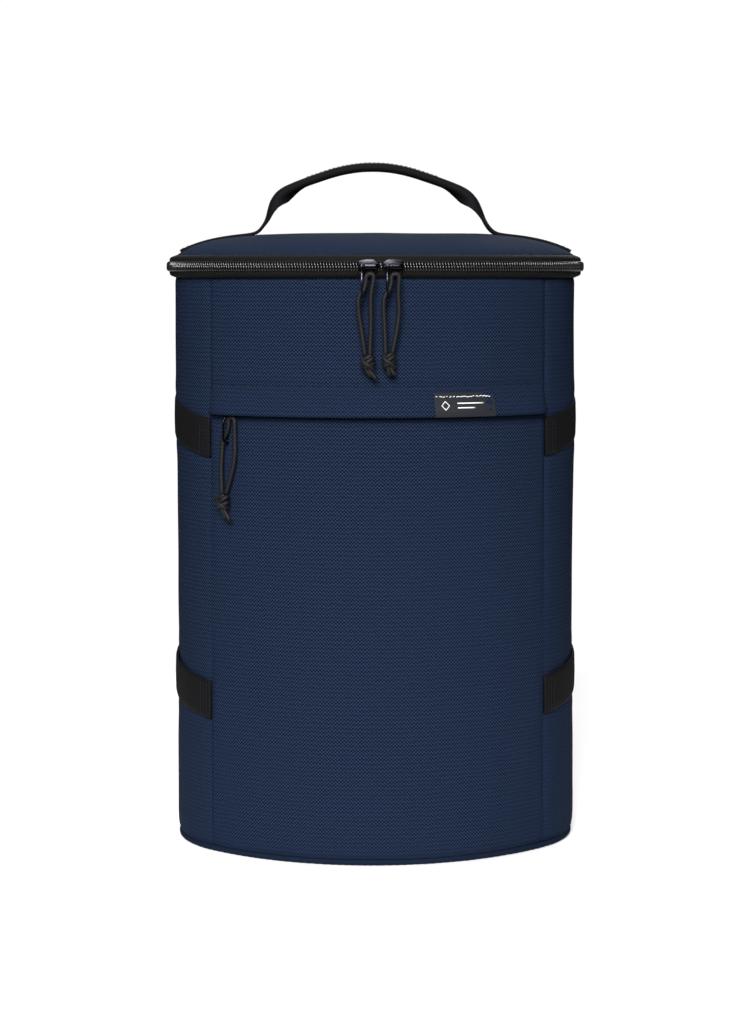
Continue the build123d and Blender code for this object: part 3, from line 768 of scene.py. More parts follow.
def finish(name):
    """A finish by name, made when it is first asked for."""
    if name not in FINISHES:
        c = colours()
        makers = {
            "navy polyester cloth": lambda n: polyester_cloth(n, c.lit_weave, c.weave_shade_and_navy_thread),
            "coated base cloth": lambda n: polyester_cloth(
                n, [x * 0.7 for x in c.lit_weave], [x * 0.7 for x in c.weave_shade_and_navy_thread], bump=0.3
            ),
            "thin lining cloth": lambda n: polyester_cloth(
                n, [x * 0.6 for x in c.lit_weave], [x * 0.6 for x in c.weave_shade_and_navy_thread], 0.8 * MM
            ),
            "bias binding cloth": lambda n: polyester_cloth(
                n, [x * 0.8 for x in c.lit_weave], [x * 0.8 for x in c.weave_shade_and_navy_thread], 0.7 * MM, 1.4 * MM
            ),
            "grosgrain webbing": lambda n: ribbed_weave(n, c.webbing, 0.9 * MM, 0.75 * MM),
            "knitted zip tape": lambda n: ribbed_weave(n, c.tape, 0.7 * MM, 1.1 * MM, 0.8, 0.6),
            "woven binding tape": lambda n: ribbed_weave(n, c.tape, 0.6 * MM, 1.0 * MM),
            "damask label": lambda n: ribbed_weave(n, c.label, 0.35 * MM, 0.5 * MM, 0.55, 0.3, 0.25),
            "braided polyester cord": lambda n: braided_polyester(n, c.cord),
            "black nickel casting": lambda n: plated_metal(n, c.metal, 0.22, 0.5),
            "black nickel sheet": lambda n: plated_metal(n, c.metal, 0.18, 0.9),
            "nylon coil": lambda n: nylon_coil(n, c.coil),
            "silver liner film": lambda n: liner_film(n, c.liner),
            "closed-cell foam": lambda n: cell_foam(n, c.foam),
            "base board": lambda n: cell_foam(n, [0.03, 0.03, 0.035]),
            "navy thread": lambda n: sewing_thread(n, c.weave_shade_and_navy_thread),
            "black thread": lambda n: sewing_thread(n, [0.005, 0.005, 0.006]),
            "white thread": lambda n: sewing_thread(n, c.thread),
        }
        FINISHES[name] = makers[name](name)
    return FINISHES[name]


# ---------------------------------------------------------------- stage


class COOLER_OT_stage(bpy.types.Operator):
    """Floor, soft lights and the camera"""

    bl_idname = "cooler.stage"
    bl_label = "Stage"

    def execute(self, context):
        scene = context.scene
        scene.view_settings.view_transform = "Standard"
        bpy.ops.mesh.primitive_circle_add(vertices=96, radius=0.6, fill_type="NGON")
        floor = context.object
        floor.name = "floor"
        paper, tree, surface = started("pale studio floor", Roughness=0.9)
        place = add(tree, "ShaderNodeNewGeometry")
        cloud = add(tree, "ShaderNodeTexNoise", {"Vector": place.outputs[0], "Scale": 6.0})
        tone = add(
            tree, "ShaderNodeMix",
            {"Factor": cloud.outputs[0], "A": (0.90, 0.90, 0.90, 1), "B": (0.93, 0.93, 0.93, 1)},
            data_type="RGBA",
        )
        tree.links.new(tone.outputs["Result"], surface.inputs["Base Color"])
        floor.data.materials.append(paper)

        # A white backdrop all round that gives less light than it shows, so the softboxes shape the bag
        world = bpy.data.worlds.new("soft studio")
        scene.world = world
        world.use_nodes = True
        world.node_tree.nodes.clear()
        seen = add(world.node_tree, "ShaderNodeLightPath")
        strength = add(
            world.node_tree, "ShaderNodeMapRange",
            {"Value": seen.outputs["Is Camera Ray"], "To Min": 0.1, "To Max": 1.02},
        )
        glow = add(
            world.node_tree, "ShaderNodeBackground",
            {"Color": (1, 1, 1, 1), "Strength": strength.outputs[0]},
        )
        add(world.node_tree, "ShaderNodeOutputWorld", {"Surface": glow.outputs[0]})

        for name, place, size, power, aim in (
            ("key softbox", (-0.4, -3.1, 1.8), 1.5, 275, (0, 0, 0.2)),
            ("top softbox", (-0.2, 0.9, 2.6), 1.8, 22, (0, 0.4, 0)),
            ("back softbox", (0.4, 2.4, 2.0), 1.6, 45, (0, 0.4, 0)),
        ):
            light = bpy.data.lights.new(name, "AREA")
            light.energy = power
            light.size = size
            lamp = shown(name, light)
            lamp.location = place
            lamp.rotation_euler = (Vector(aim) - Vector(place)).to_track_quat("-Z", "Y").to_euler()

        camera = bpy.data.cameras.new("camera")
        camera.lens = 76.7
        camera.sensor_width = 36.0
        camera.shift_y = -0.1282
        holder = shown("camera", camera)
        turn = math.radians(-1.8)
        far = 1.45
        holder.location = (far * math.sin(turn), -far * math.cos(turn), ZIP_HEIGHT)
        holder.rotation_euler = (math.radians(90 - 3.0), 0, turn)
        scene.camera = holder
        return {"FINISHED"}


# ---------------------------------------------------------------- cords, knots and pullers

# Each route runs from the knot up the left strand, through the puller and down the right strand.
# Points are (across, out, up) from the middle of the bridge that the puller hangs from.
ROUTES = {
    "left": (
        (1.9, -1.6, -54.5), (0.0, -1.2, -41.0), (-1.9, -0.7, -29.5), (-2.4, -0.1, -22.5),
        (-1.9, 0.0, -18.4), (1.2, 0.1, -14.6), (2.6, 0.2, -10.2), (2.5, 0.2, -4.8), (7.7, 0.5, -4.5),
        (6.7, 0.4, -11.0), (5.3, -0.1, -19.5), (5.7, -0.8, -30.0), (5.4, -1.3, -42.5), (4.9, -1.6, -54.5),
    ),
    "right": (
        (-0.9, -1.5, -54.0), (-1.3, -1.2, -41.5), (-2.0, -0.8, -30.0), (-2.3, -0.2, -22.5),
        (-1.8, 0.0, -18.4), (1.2, 0.1, -14.6), (2.6, 0.2, -10.2), (2.5, 0.2, -4.8), (7.6, 0.5, -4.6),
        (7.0, 0.4, -11.0), (6.8, 0.0, -18.5), (7.6, -0.5, -27.0), (6.2, -1.1, -39.5), (3.1, -1.5, -54.0),
    ),
    "pocket": (
        (-2.0, 1.3, -53.0), (-2.9, 0.9, -40.5), (-2.8, 0.4, -29.5), (-2.3, 0.0, -22.5), (-1.8, 0.0, -18.4),
        (1.2, 0.0, -14.6), (2.6, 0.1, -10.2), (2.5, 0.1, -4.8), (7.5, 0.2, -4.7), (7.4, 0.2, -11.5),
        (7.7, 0.3, -20.0), (8.0, 0.6, -29.5), (5.4, 1.0, -41.0), (1.2, 1.3, -53.0),
    ),
}
# Turn of each slider round the front, degrees
TURNS = {"left": -2.5, "right": 2.5, "pocket": -35.4}
# Knot: middle (across, out, up), and the ends of its two tails
KNOTS = {
    "left": ((3.4, -1.6, -60.3), ((8.6, -1.2, -69.2), (5.6, -2.0, -67.4))),
    "right": ((1.1, -1.5, -59.0), ((4.6, -1.2, -66.8), (1.4, -1.8, -66.6))),
    "pocket": ((-0.4, 2.6, -59.2), ((4.9, 2.8, -69.4), (2.0, 2.2, -68.0))),
}


def hung(name, across, out, up):
    """Point beside a puller: across the zip, out of the front, and up from its bridge."""
    turn = math.radians(TURNS[name])
    pivot = PIVOTS[f"puller_{name}_swing"]
    along = Vector((math.cos(turn), math.sin(turn), 0))
    outward = Vector((math.sin(turn), -math.cos(turn), 0))
    return pivot + along * across * MM + outward * out * MM + Vector((0, 0, up * MM))


def braided(name, points, diameter, around=30, step=0.24 * MM, plaits=5, pitch=2.1 * MM):
    """Tube along points with the crossing plaits of a round braid raised on it."""
    points = evenly(points, step)

    def plait(far, angle):
        one = plaits * angle / math.pi / 2 + far / pitch
        two = plaits * angle / math.pi / 2 - far / pitch
        over = math.floor(one) + math.floor(two)
        shown = one if over % 2 else two
        return abs(math.sin(math.pi * (shown % 1.0)))

    made = tube(
        name, points, lambda far, angle: diameter / 2 * (0.90 + 0.13 * plait(far, angle) ** 0.7), around
    )
    walked = distances(points)
    # The plait height is kept for the cord's material, which paints shade in the gaps and light on the crowns
    # from it
    shade = [plait(far, 2 * math.pi * i / around) ** 0.8 for far in walked for i in range(around)]
    layer = made.data.attributes.new("plait", "FLOAT", "POINT")
    layer.data.foreach_set("value", shade)
    return made


def knot_of(name):
    """Overhand knot of the doubled cord: three loose wraps, a strand across them and two frayed tails."""
    (across, out, up), tails = KNOTS[name]
    diameter = sizes().cord_diameter * 0.94
    luck = random.Random(name)

    def at(x, y, z):
        return hung(name, across + x, out + y, up + z)

    lean = {"left": 0.25, "right": 0.05, "pocket": 0.18}[name]
    wraps = []
    for i in range(29):
        angle = 2 * math.pi * i / 9.5 + 0.6
        share = i / 28
        swell = 2.7 + 0.9 * math.sin(math.pi * min(1, share * 1.1)) + luck.uniform(-0.15, 0.15)
        drop = 4.4 - 7.6 * share
        tilt = (0.35 + 0.25 * math.sin(share * 5)) * swell * math.cos(angle)
        wraps.append(
            at(
                swell * math.cos(angle) + lean * (4.4 - drop) * 0.4, swell * 0.78 * math.sin(angle),
                drop + tilt,
            )
        )
    crossing = [
        at(*p)
        for p in (
            (-3.0, 0.6, 4.0), (-3.4, 2.0, 2.0), (-1.0, 3.7, 0.2), (2.4, 3.2, -1.6), (3.6, 0.6, -3.2),
            (1.2, -0.5, -4.4),
        )
    ]
    strands = [wraps, crossing]
    for side, end in zip((0.9, -0.7), tails):
        strands.append(
            [
                at(side, 0, 4.6), at(side * 1.4, 0.3, 0), at(side * 1.2, 0.2, -3.6),
                hung(name, *end).lerp(at(side, 0.2, -4.2), 0.45), hung(name, *end),
            ]
        )
    pieces = [
        braided(f"strand_{i}", smooth_line(points, 12), diameter, 20, 0.3 * MM)
        for i, points in enumerate(strands)
    ]
    for end, line in zip(tails, strands[2:]):
        tip = hung(name, *end)
        ahead = (line[-1] - line[-2]).normalized()
        side = ahead.orthogonal().normalized()
        up_way = ahead.cross(side)
        for _ in range(26):
            angle, reach = luck.uniform(0, 2 * math.pi), luck.uniform(0.1, 1.25) * MM
            root = tip + (side * math.cos(angle) + up_way * math.sin(angle)) * reach - ahead * 0.6 * MM
            spray = (side * math.cos(angle) + up_way * math.sin(angle)) * reach * luck.uniform(0.2, 0.6)
            fibre = [
                root, root + ahead * 1.0 * MM + spray * 0.4,
                root + ahead * luck.uniform(1.4, 2.1) * MM + spray,
            ]
            pieces.append(tube("fibre", fibre, lambda far, angle: 0.13 * MM, 5))
    made = joined(f"knot_{name}", pieces)
    return dressed(made, finish("braided polyester cord"))


class COOLER_OT_pull_cords(bpy.types.Operator):
    """Braided cord loops with their knots"""

    bl_idname = "cooler.pull_cords"
    bl_label = "Pull cords and knots"

    def execute(self, context):
        for name, route in ROUTES.items():
            line = evenly(smooth_line([hung(name, *point) for point in route]), 0.24 * MM)
            made = braided(f"cord_{name}", line, sizes().cord_diameter)
            dressed(made, finish("braided polyester cord"))
            knot = knot_of(name)
            for piece, node in ((made, f"pull_cord_{name}"), (knot, f"pull_knot_{name}")):
                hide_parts(node)
                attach(piece, f"pull_{name}")
        return {"FINISHED"}


# Puller outline and slot, as (out, up) from the middle of the bridge, right half from the top down
PULLER_OUTLINE = (
    (0.0, 1.95), (1.1, 1.9), (1.6, 1.0), (1.6, -5.0), (2.8, -7.6), (2.8, -19.4), (2.4, -21.4), (0.0, -21.9)
)
PULLER_SLOT = (
    (0.0, 1.2), (0.6, 1.15), (0.9, 0.6), (0.9, -5.6), (1.9, -8.4), (1.9, -19.2), (1.6, -20.6), (0.0, -20.9)
)


def loop_of(half, count=48):
    """Closed loop of evenly spaced points from its right half."""
    outline = softened([(x, y, 0) for x, y in half], 2)
    right = evenly(outline, distances(outline)[-1] / count)
    return right + [Vector((-p.x, p.y, 0)) for p in reversed(right[1:-1])]


class COOLER_OT_pullers(bpy.types.Operator):
    """Slotted sheet-metal pullers that hang edge-on from the bridges"""

    bl_idname = "cooler.pullers"
    bl_label = "Pullers"

    def execute(self, context):
        outer, inner = loop_of(PULLER_OUTLINE), loop_of(PULLER_SLOT)
        for name in ROUTES:
            rows = []
            for loop, side in ((outer, -1), (outer, 1), (inner, 1), (inner, -1)):
                ring = []
                for p in loop:
                    bend = 0.9 * max(0, (-18.0 - p.y) / 4) ** 2
                    ring.append(hung(name, side * 0.5 + bend, p.x, p.y))
                rows.append(ring)
            made = grid(
                f"pull_tab_{name}", rows, lambda r, c: (c * 0.5 * MM, r * MM), close_rows=True,
                close_columns=True,
            )
            soft = made.modifiers.new("soft edges", "BEVEL")
            soft.width = 0.22 * MM
            soft.segments = 3
            soft.limit_method = "ANGLE"
            settled(made)
            placed(made, "black nickel sheet", "puller_metal", f"pull_{name}", f"puller_{name}")
        return {"FINISHED"}


# ---------------------------------------------------------------- sliders


def on_slider(turn, offset, height, along, out, up):
    """Point on a slider: along the zip, out from the outline offset, and up from the chain."""
    angle = math.radians(turn)
    outward = Vector((math.sin(angle), -math.cos(angle), 0))
    reach = FRONT_RADIUS + (offset + out) * MM
    return Vector((0, FRONT_CENTRE, 0)) + outward * reach + Vector(
        (math.cos(angle), math.sin(angle), 0)
    ) * along * MM + Vector((0, 0, height + up * MM))


def slab(name, where, outline, low, high, edge=0.3):
    """Plate with a rounded rim: outline in (along, up), from one offset to another."""
    mesh = bmesh.new()
    back = [mesh.verts.new(where(a, low, u)) for a, u in outline]
    front = [mesh.verts.new(where(a, high, u)) for a, u in outline]
    mesh.faces.new(list(reversed(back)))
    mesh.faces.new(front)
    count = len(outline)
    for i in range(count):
        j = (i + 1) % count
        mesh.faces.new((back[i], back[j], front[j], front[i]))
    bmesh.ops.recalc_face_normals(mesh, faces=mesh.faces)
    data = bpy.data.meshes.new(name)
    mesh.to_mesh(data)
    mesh.free()
    made = shown(name, data)
    soft = made.modifiers.new("soft edges", "BEVEL")
    soft.width = edge * MM
    soft.segments = 3
    soft.limit_method = "ANGLE"
    return settled(made)


def rounded_shield(nose, length, tall, tail_tall):
    """Outline of a slider plate: round nose, straight flanks, square tail."""
    half = length / 2
    points = []
    for i in range(13):
        angle = math.pi / 2 - math.pi * i / 12
        points.append((half - tall + tall * math.cos(angle), tall * math.sin(angle)))
    points += [
        (-half * 0.2, -tall), (-half + 0.6, -tail_tall), (-half, -tail_tall + 0.7),
        (-half, tail_tall - 0.7), (-half + 0.6, tail_tall), (-half * 0.2, tall),
    ]
    return [(nose * a, u) for a, u in points]


# offset of the tape's inner face, tape, coil height, coil width, length, rise of the bridge,
# way that the nose points and place of the puller along it, in millimetres
SLIDERS = {
    "left": (4.1, 0.6, 2.0, 2.5, 12.8, 2.0, 1, -4.0),
    "right": (4.1, 0.6, 2.0, 2.5, 12.8, 2.0, -1, -3.6),
    "pocket": (-3.3, 0.4, 1.4, 2.2, 12.0, 3.0, 1, 0.0),
}


class COOLER_OT_sliders(bpy.types.Operator):
    """Zip sliders: two shaped plates, a post, side lips and a rounded bridge"""

    bl_idname = "cooler.sliders"
    bl_label = "Zip sliders"

    def execute(self, context):
        for name, (tape_out, tape, coil, wide, length, rise, nose, hang) in SLIDERS.items():
            height = POCKET_ZIP if name == "pocket" else ZIP_HEIGHT
            turn = TURNS[name]

            def where(along, out, up, turn=turn, height=height):
                return on_slider(turn, 0, height, along, out, up)

            inner = tape_out - 1.15
            outer = tape_out + tape + coil + 0.45
            tall = wide + 2.0
            shield = rounded_shield(nose, length, tall, tall - 0.9)
            pieces = [
                slab("inner", where, shield, inner, inner + 0.7),
                slab("outer", where, shield, outer, outer + 0.8, 0.38),
                slab(
                    "post", where,
                    [
                        (nose * (length / 2 - 4.4), -0.3), (nose * (length / 2 - 1.9), -0.3),
                        (nose * (length / 2 - 1.9), 0.3), (nose * (length / 2 - 4.4), 0.3),
                    ],
                    inner + 0.4, outer + 0.3, 0.1,
                ),
            ]
            lip = [
                (-length / 2 + 0.8, -tall), (length / 2 - 3.6, -tall), (length / 2 - 3.2, -tall + 0.9),
                (-length / 2 + 0.8, -tall + 0.9),
            ]
            pieces.append(
                slab(
                    "lip", where, [(nose * a, u) for a, u in lip], tape_out + tape + 0.45, outer + 0.5, 0.25
                )
            )
            # The bridge is a rounded casting, slim where the puller hangs and full beside it
            bar = outer + 0.8 + rise + 0.35
            feet = length / 2 - 0.9
            spine = smooth_line(
                [
                    where(-feet, outer + 0.3, 0), where(-feet, bar - 0.6, 0),
                    where(-feet + 0.5, bar + 0.05, 0), where(-feet + 1.6, bar, 0), where(0, bar, 0),
                    where(feet - 1.6, bar, 0), where(feet - 0.3, bar - 0.2, 0), where(feet, bar - 1.2, 0),
                    where(feet, outer + 0.3, 0),
                ],
                10,
            )
            spine = evenly(spine, 0.25 * MM)
            middle = where(hang, bar, 0)
            rows = []
            for point, (ahead, _, _) in zip(spine, frames_along(spine)):
                upward = Vector((0, 0, 1))
                outward = ahead.cross(upward).normalized()
                gap = min(1.0, max(0.0, ((point - middle).length / MM - 0.9) / 1.1))
                gap = gap * gap * (3 - 2 * gap)
                tall_half = (0.58 + 1.25 * gap) * MM
                deep = (0.5 + 0.3 * gap) * MM
                rows.append(
                    [
                        point + upward * tall_half * math.sin(a) + outward * deep * math.cos(a)
                        for a in [2 * math.pi * i / 16 for i in range(16)]
                    ]
                )
            bridge = grid("bridge", rows, lambda r, c: (c * 0.2 * MM, r * 0.25 * MM), close_columns=True)
            pieces.append(bridge)
            made = joined(f"slider_{name}", pieces)
            placed(made, "black nickel casting", "slider_metal", f"slider_{name}", f"zip_slider_{name}")
        return {"FINISHED"}


# ---------------------------------------------------------------- outer cloth

FOOT = ((-2.9, 3.3), (-2.0, 4.0), (-1.1, 6.2), (-0.45, 10), (-0.1, 16), (0, 24))


class COOLER_OT_walls(bpy.types.Operator):
    """Side and back walls of navy cloth over foam"""

    bl_idname = "cooler.walls"
    bl_label = "Side and back walls"

    def execute(self, context):
        top = RIM / MM
        profile = (*FOOT, (0, 120), (0, 240), (0, top - 4), (-0.1, top - 0.4))
        for name, start, end in (
            ("side_panel_right", FRONT_HALF, FRONT_HALF + SIDE_RUN),
            ("back_panel", FRONT_HALF + SIDE_RUN, 3 * FRONT_HALF + SIDE_RUN),
            ("side_panel_left", -FRONT_HALF - SIDE_RUN, -FRONT_HALF),
        ):
            made = wall_sheet(f"{name}_cloth", start, end, profile, CLOTH)
            placed(made, "navy polyester cloth", "navy_fabric", "bag", name)
        return {"FINISHED"}


HOOD_PROFILE = (
    (5.5, 289), (5.7, 285.4), (6.0, 284.3), (6.6, 283.9), (7.1, 284.4), (7.25, 286.2), (7.1, 288),
    (6.1, 291.5), (4.4, 295), (2.6, 298.5), (1.3, 301), (0.55, 302.6), (0.35, 303.4), (0.7, 304.6),
    (0.9, 307), (0.6, 312), (0.3, 318), (0.1, 326), (0, 340),
)


def hood_flare(s, grow, z):
    """The hood stands out along the front and is drawn in where it meets the seams."""
    share = 1 - math.exp(-max(0, FRONT_HALF - abs(s)) / (4.0 * MM))
    return grow * (share if z < 318 * MM else 1)


class COOLER_OT_front(bpy.types.Operator):
    """Pocket front, and the upper front with its hood over the pocket zip"""

    bl_idname = "cooler.front"
    bl_label = "Front and hood"

    def execute(self, context):
        top = POCKET_TOP / MM
        pocket = wall_sheet(
            "pocket_front_cloth", -FRONT_HALF, FRONT_HALF,
            (
                *FOOT, (0, 120), (0, top - 5), (-0.05, top + 1.4), (-0.3, top + 2.6), (-1.0, top + 3.1),
                (-2.4, top + 3.1),
            ),
            CLOTH,
        )
        upper = wall_sheet(
            "upper_front_cloth", -FRONT_HALF, FRONT_HALF,
            (*HOOD_PROFILE, (0, RIM / MM - 4), (-0.1, RIM / MM - 0.4)), CLOTH, 1.8 * MM, flare=hood_flare,
        )
        for made, node in ((pocket, "pocket_panel"), (upper, "front_panel")):
            placed(made, "navy polyester cloth", "navy_fabric", "bag", node)
        line, normals = [], []
        for s in spread(-FRONT_HALF + 1.5 * MM, FRONT_HALF - 1.5 * MM, 1.5 * MM):
            z = 302.9 * MM
            line.append(on_wall(s, hood_flare(s, 0.45 * MM, z) + relief(s, z), z))
            normals.append(plan(s)[1])
        row = stitches("hood_topstitch", line, normals, finish("navy thread"), 0.45 * MM)
        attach(row, "bag")
        lining = wall_sheet(
            "pocket_lining_cloth", -FRONT_HALF + 4 * MM, FRONT_HALF - 4 * MM, ((-4.9, 10.5), (-4.9, 303.5)),
            0.5 * MM, 6 * MM, lambda s, z: 0.25 * MM * wave(s, z, 40 * MM, 31) - 0.15 * MM,
        )
        placed(lining, "thin lining cloth", "lining_fabric", "bag", "pocket_backing")
        return {"FINISHED"}


class COOLER_OT_base(bpy.types.Operator):
    """Base cloth and the corded piping round it"""

    bl_idname = "cooler.base"
    bl_label = "Base and piping"

    def execute(self, context):
        columns = spread(0, ROUND, 4 * MM)[:-1]
        shares = [1, 0.985, 0.96, 0.92, *[0.92 * (1 - i / 22) for i in range(1, 22)], 0.01]
        rows = []
        for share in shares:
            row = []
            for s in columns:
                p = on_wall(s, -4.2 * MM, 0) * share
                edge = (1 - share) * 90
                p.z = (0.25 + 1.0 * math.exp(-edge / 2.5)) * MM + 0.12 * MM * noise.noise(p * 60)
                row.append(p)
            rows.append(row)
        base = grid(
            "base_cloth", rows,
            lambda r, c: (rows[r % len(rows)][c % len(columns)].x, rows[r % len(rows)][c % len(columns)].y),
            close_columns=True,
        )
        base.data.flip_normals()
        thickened(base, 0.5 * MM)
        placed(base, "coated base cloth", "base_fabric", "bag", "base_panel")

        around, rows = 14, []
        rounds = spread(0, ROUND, 1.6 * MM)[:-1]
        for s in rounds:
            ruck = 1 + 0.07 * math.sin(
                2 * math.pi * s / (4.7 * MM) + 6 * wave(s, 0, 30 * MM, 21)
            ) + 0.06 * wave(s, 0, 9 * MM, 22)
            dent = 0.5 * math.exp(-(((s + FRONT_HALF - 12 * MM) / (9 * MM)) ** 2))
            ring = []
            for i in range(around):
                angle = 2 * math.pi * i / around
                radius = 1.85 * ruck
                ring.append(
                    on_wall(
                        s, (-2.1 - dent + radius * math.cos(angle)) * MM,
                        (2.1 + radius * math.sin(angle)) * MM,
                    )
                )
            rows.append(ring)
        piping = grid(
            "piping", rows, lambda r, c: (c * 0.8 * MM, r * 1.6 * MM), close_rows=True, close_columns=True
        )
        placed(piping, "bias binding cloth", "navy_piping", "bag", "base_piping")
        return {"FINISHED"}


# ---------------------------------------------------------------- lid


# The rings of the lid follow its rim this far in, and shrink to its middle over the rest
LID_RINGS = 52 * MM
LID_MIDDLE = 40 * MM
# How fast the padding rises from the edge
LID_SHOULDER = 24 * MM


def lid_rise(inset):
    """Height of the padded lid above its edge, at a distance in from the rim."""
    crown = LID_CROWN - LID_EDGE
    puffed = crown + 1.3 * MM
    return puffed * (1 - math.exp(-inset / LID_SHOULDER)) / (1 - math.exp(-90 / 24))


def lid_point(s, inset):
    """Point on the lid's cloth at distance s round the rim and inset from it."""
    p, _ = plan(s, -min(inset, LID_RINGS))
    if inset > LID_RINGS:
        p = p * (1 - (inset - LID_RINGS) / LID_MIDDLE)
    p.z = LID_EDGE + lid_rise(inset)
    around = s / ROUND * 2 * math.pi
    p.z += 0.6 * MM * noise.noise(Vector((p.x * 22, p.y * 22, 4.0))) * min(1, inset / (12 * MM))
    p.z -= 0.5 * MM * math.exp(-inset / (2.2 * MM))
    tuck = math.sin(around * 74 + 5 * noise.noise(Vector((math.cos(around) * 4, math.sin(around) * 4, 6))))
    p.z += 0.22 * MM * tuck * math.exp(-inset / (5 * MM))
    press = abs(p.y) / (13.5 * MM)
    if abs(p.x) > 78 * MM:
        p.z -= 0.6 * MM * math.exp(-(press**4))
    return p


def lid_height(x):
    """Height of the lid's cloth under the handle, at a distance across."""
    return LID_EDGE + lid_rise(max(0, HALF_WIDTH - abs(x)))


class COOLER_OT_lid(bpy.types.Operator):
    """Padded lid with its edge, and a hinge of the same cloth"""

    bl_idname = "cooler.lid"
    bl_label = "Padded lid"

    def execute(self, context):
        columns = spread(0, ROUND, 2.6 * MM)[:-1]
        insets = [
            i * MM
            for i in (
                0, 0.5, 1.2, 2.2, 3.5, 5, 7, 9.5, 12, 15, 18, 22, 26, 30, 35, 40, 46, 52, 58, 64, 70, 76,
                82, 87, 90.5, 91.99,
            )
        ]
        rows = [[on_wall(s, -0.2 * MM, LID_EDGE - 1.6 * MM) for s in columns]]
        rows += [[lid_point(s, inset) for s in columns] for inset in insets]
        lid = grid(
            "lid_cloth", rows,
            lambda r, c: (rows[r % len(rows)][c % len(columns)].x, rows[r % len(rows)][c % len(columns)].y),
            close_columns=True,
        )
        thickened(lid, CLOTH)
        placed(lid, "navy polyester cloth", "navy_fabric", "lid", "lid_panel")

        hinge = wall_sheet(
            "lid_hinge_cloth", FRONT_HALF + SIDE_RUN - 4 * MM, 3 * FRONT_HALF + SIDE_RUN + 4 * MM,
            (
                (0.3, RIM / MM - 1.5), (0.9, RIM / MM + 1.5), (1.0, 376), (0.7, 378), (1.0, 380),
                (0.9, 383), (0.3, 385.4),
            ),
            0.7 * MM, 1.4 * MM, lambda s, z: 0.15 * MM * wave(s, z, 12 * MM, 41),
        )
        dressed(hinge, finish("navy polyester cloth"))
        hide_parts("lid_hinge_panel")
        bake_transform(hinge)
        return {"FINISHED"}


# ---------------------------------------------------------------- zips


def ring_strip(name, start, end, outline, step=1.2 * MM, rough=None):
    """Closed strip round the wall: its section is a closed outline of (grow, z) points in millimetres."""
    columns = spread(start, end, step)
    rows = []
    for s in columns:
        wobble = rough(s) if rough else 0
        rows.append([on_wall(s, grow * MM + wobble, z * MM) for grow, z in outline])
    lengths = [0.0]
    for a, b in zip(outline, [*outline[1:], outline[0]]):
        lengths.append(lengths[-1] + math.dist(a, b) * MM)
    made = grid(name, rows, lambda r, c: (lengths[c], columns[min(r, len(columns) - 1)]), close_columns=True)
    return closed_up(made)


def coil_row(name, start, end, side, height, base, scale, pitch, phase):
    """One half of a coil zip: bent turns of monofilament whose heads cross the middle of the chain."""
    vertices, faces = [], []
    turn = (
        (0.0, 3.0, 0.0, 0.42), (0.0, 3.05, 0.9, 0.5), (0.12, 2.3, 1.65, 0.52), (0.25, 1.0, 1.85, 0.54),
        (0.34, -0.35, 1.75, 0.66), (0.36, -0.75, 1.1, 0.6), (0.36, -0.6, 0.3, 0.45),
    )
    count = int((end - start) / pitch)
    sides = 8
    for n in range(count):
        middle = start + (n + phase) * pitch
        path = [
            on_wall(
                middle + lean * side * MM * scale, base + out * MM * scale, height + side * up * MM * scale
            )
            for lean, up, out, _ in turn
        ]
        first = len(vertices)
        for (point, (_, one, two)), (_, _, _, fat) in zip(zip(path, frames_along(path)), turn):
            for i in range(sides):
                angle = 2 * math.pi * i / sides
                vertices.append(
                    tuple(point + (one * math.cos(angle) + two * math.sin(angle)) * fat * scale * MM)
                )
        for r in range(len(turn) - 1):
            for c in range(sides):
                a, b = first + r * sides + c, first + r * sides + (c + 1) % sides
                faces.append((a, b, b + sides, a + sides))
        last = first + (len(turn) - 1) * sides
        faces.append(tuple(first + c for c in reversed(range(sides))))
        faces.append(tuple(last + c for c in range(sides)))
    mesh = bpy.data.meshes.new(name)
    mesh.from_pydata(vertices, [], faces)
    mesh.shade_smooth()
    return dressed(shown(name, mesh), finish("nylon coil"))


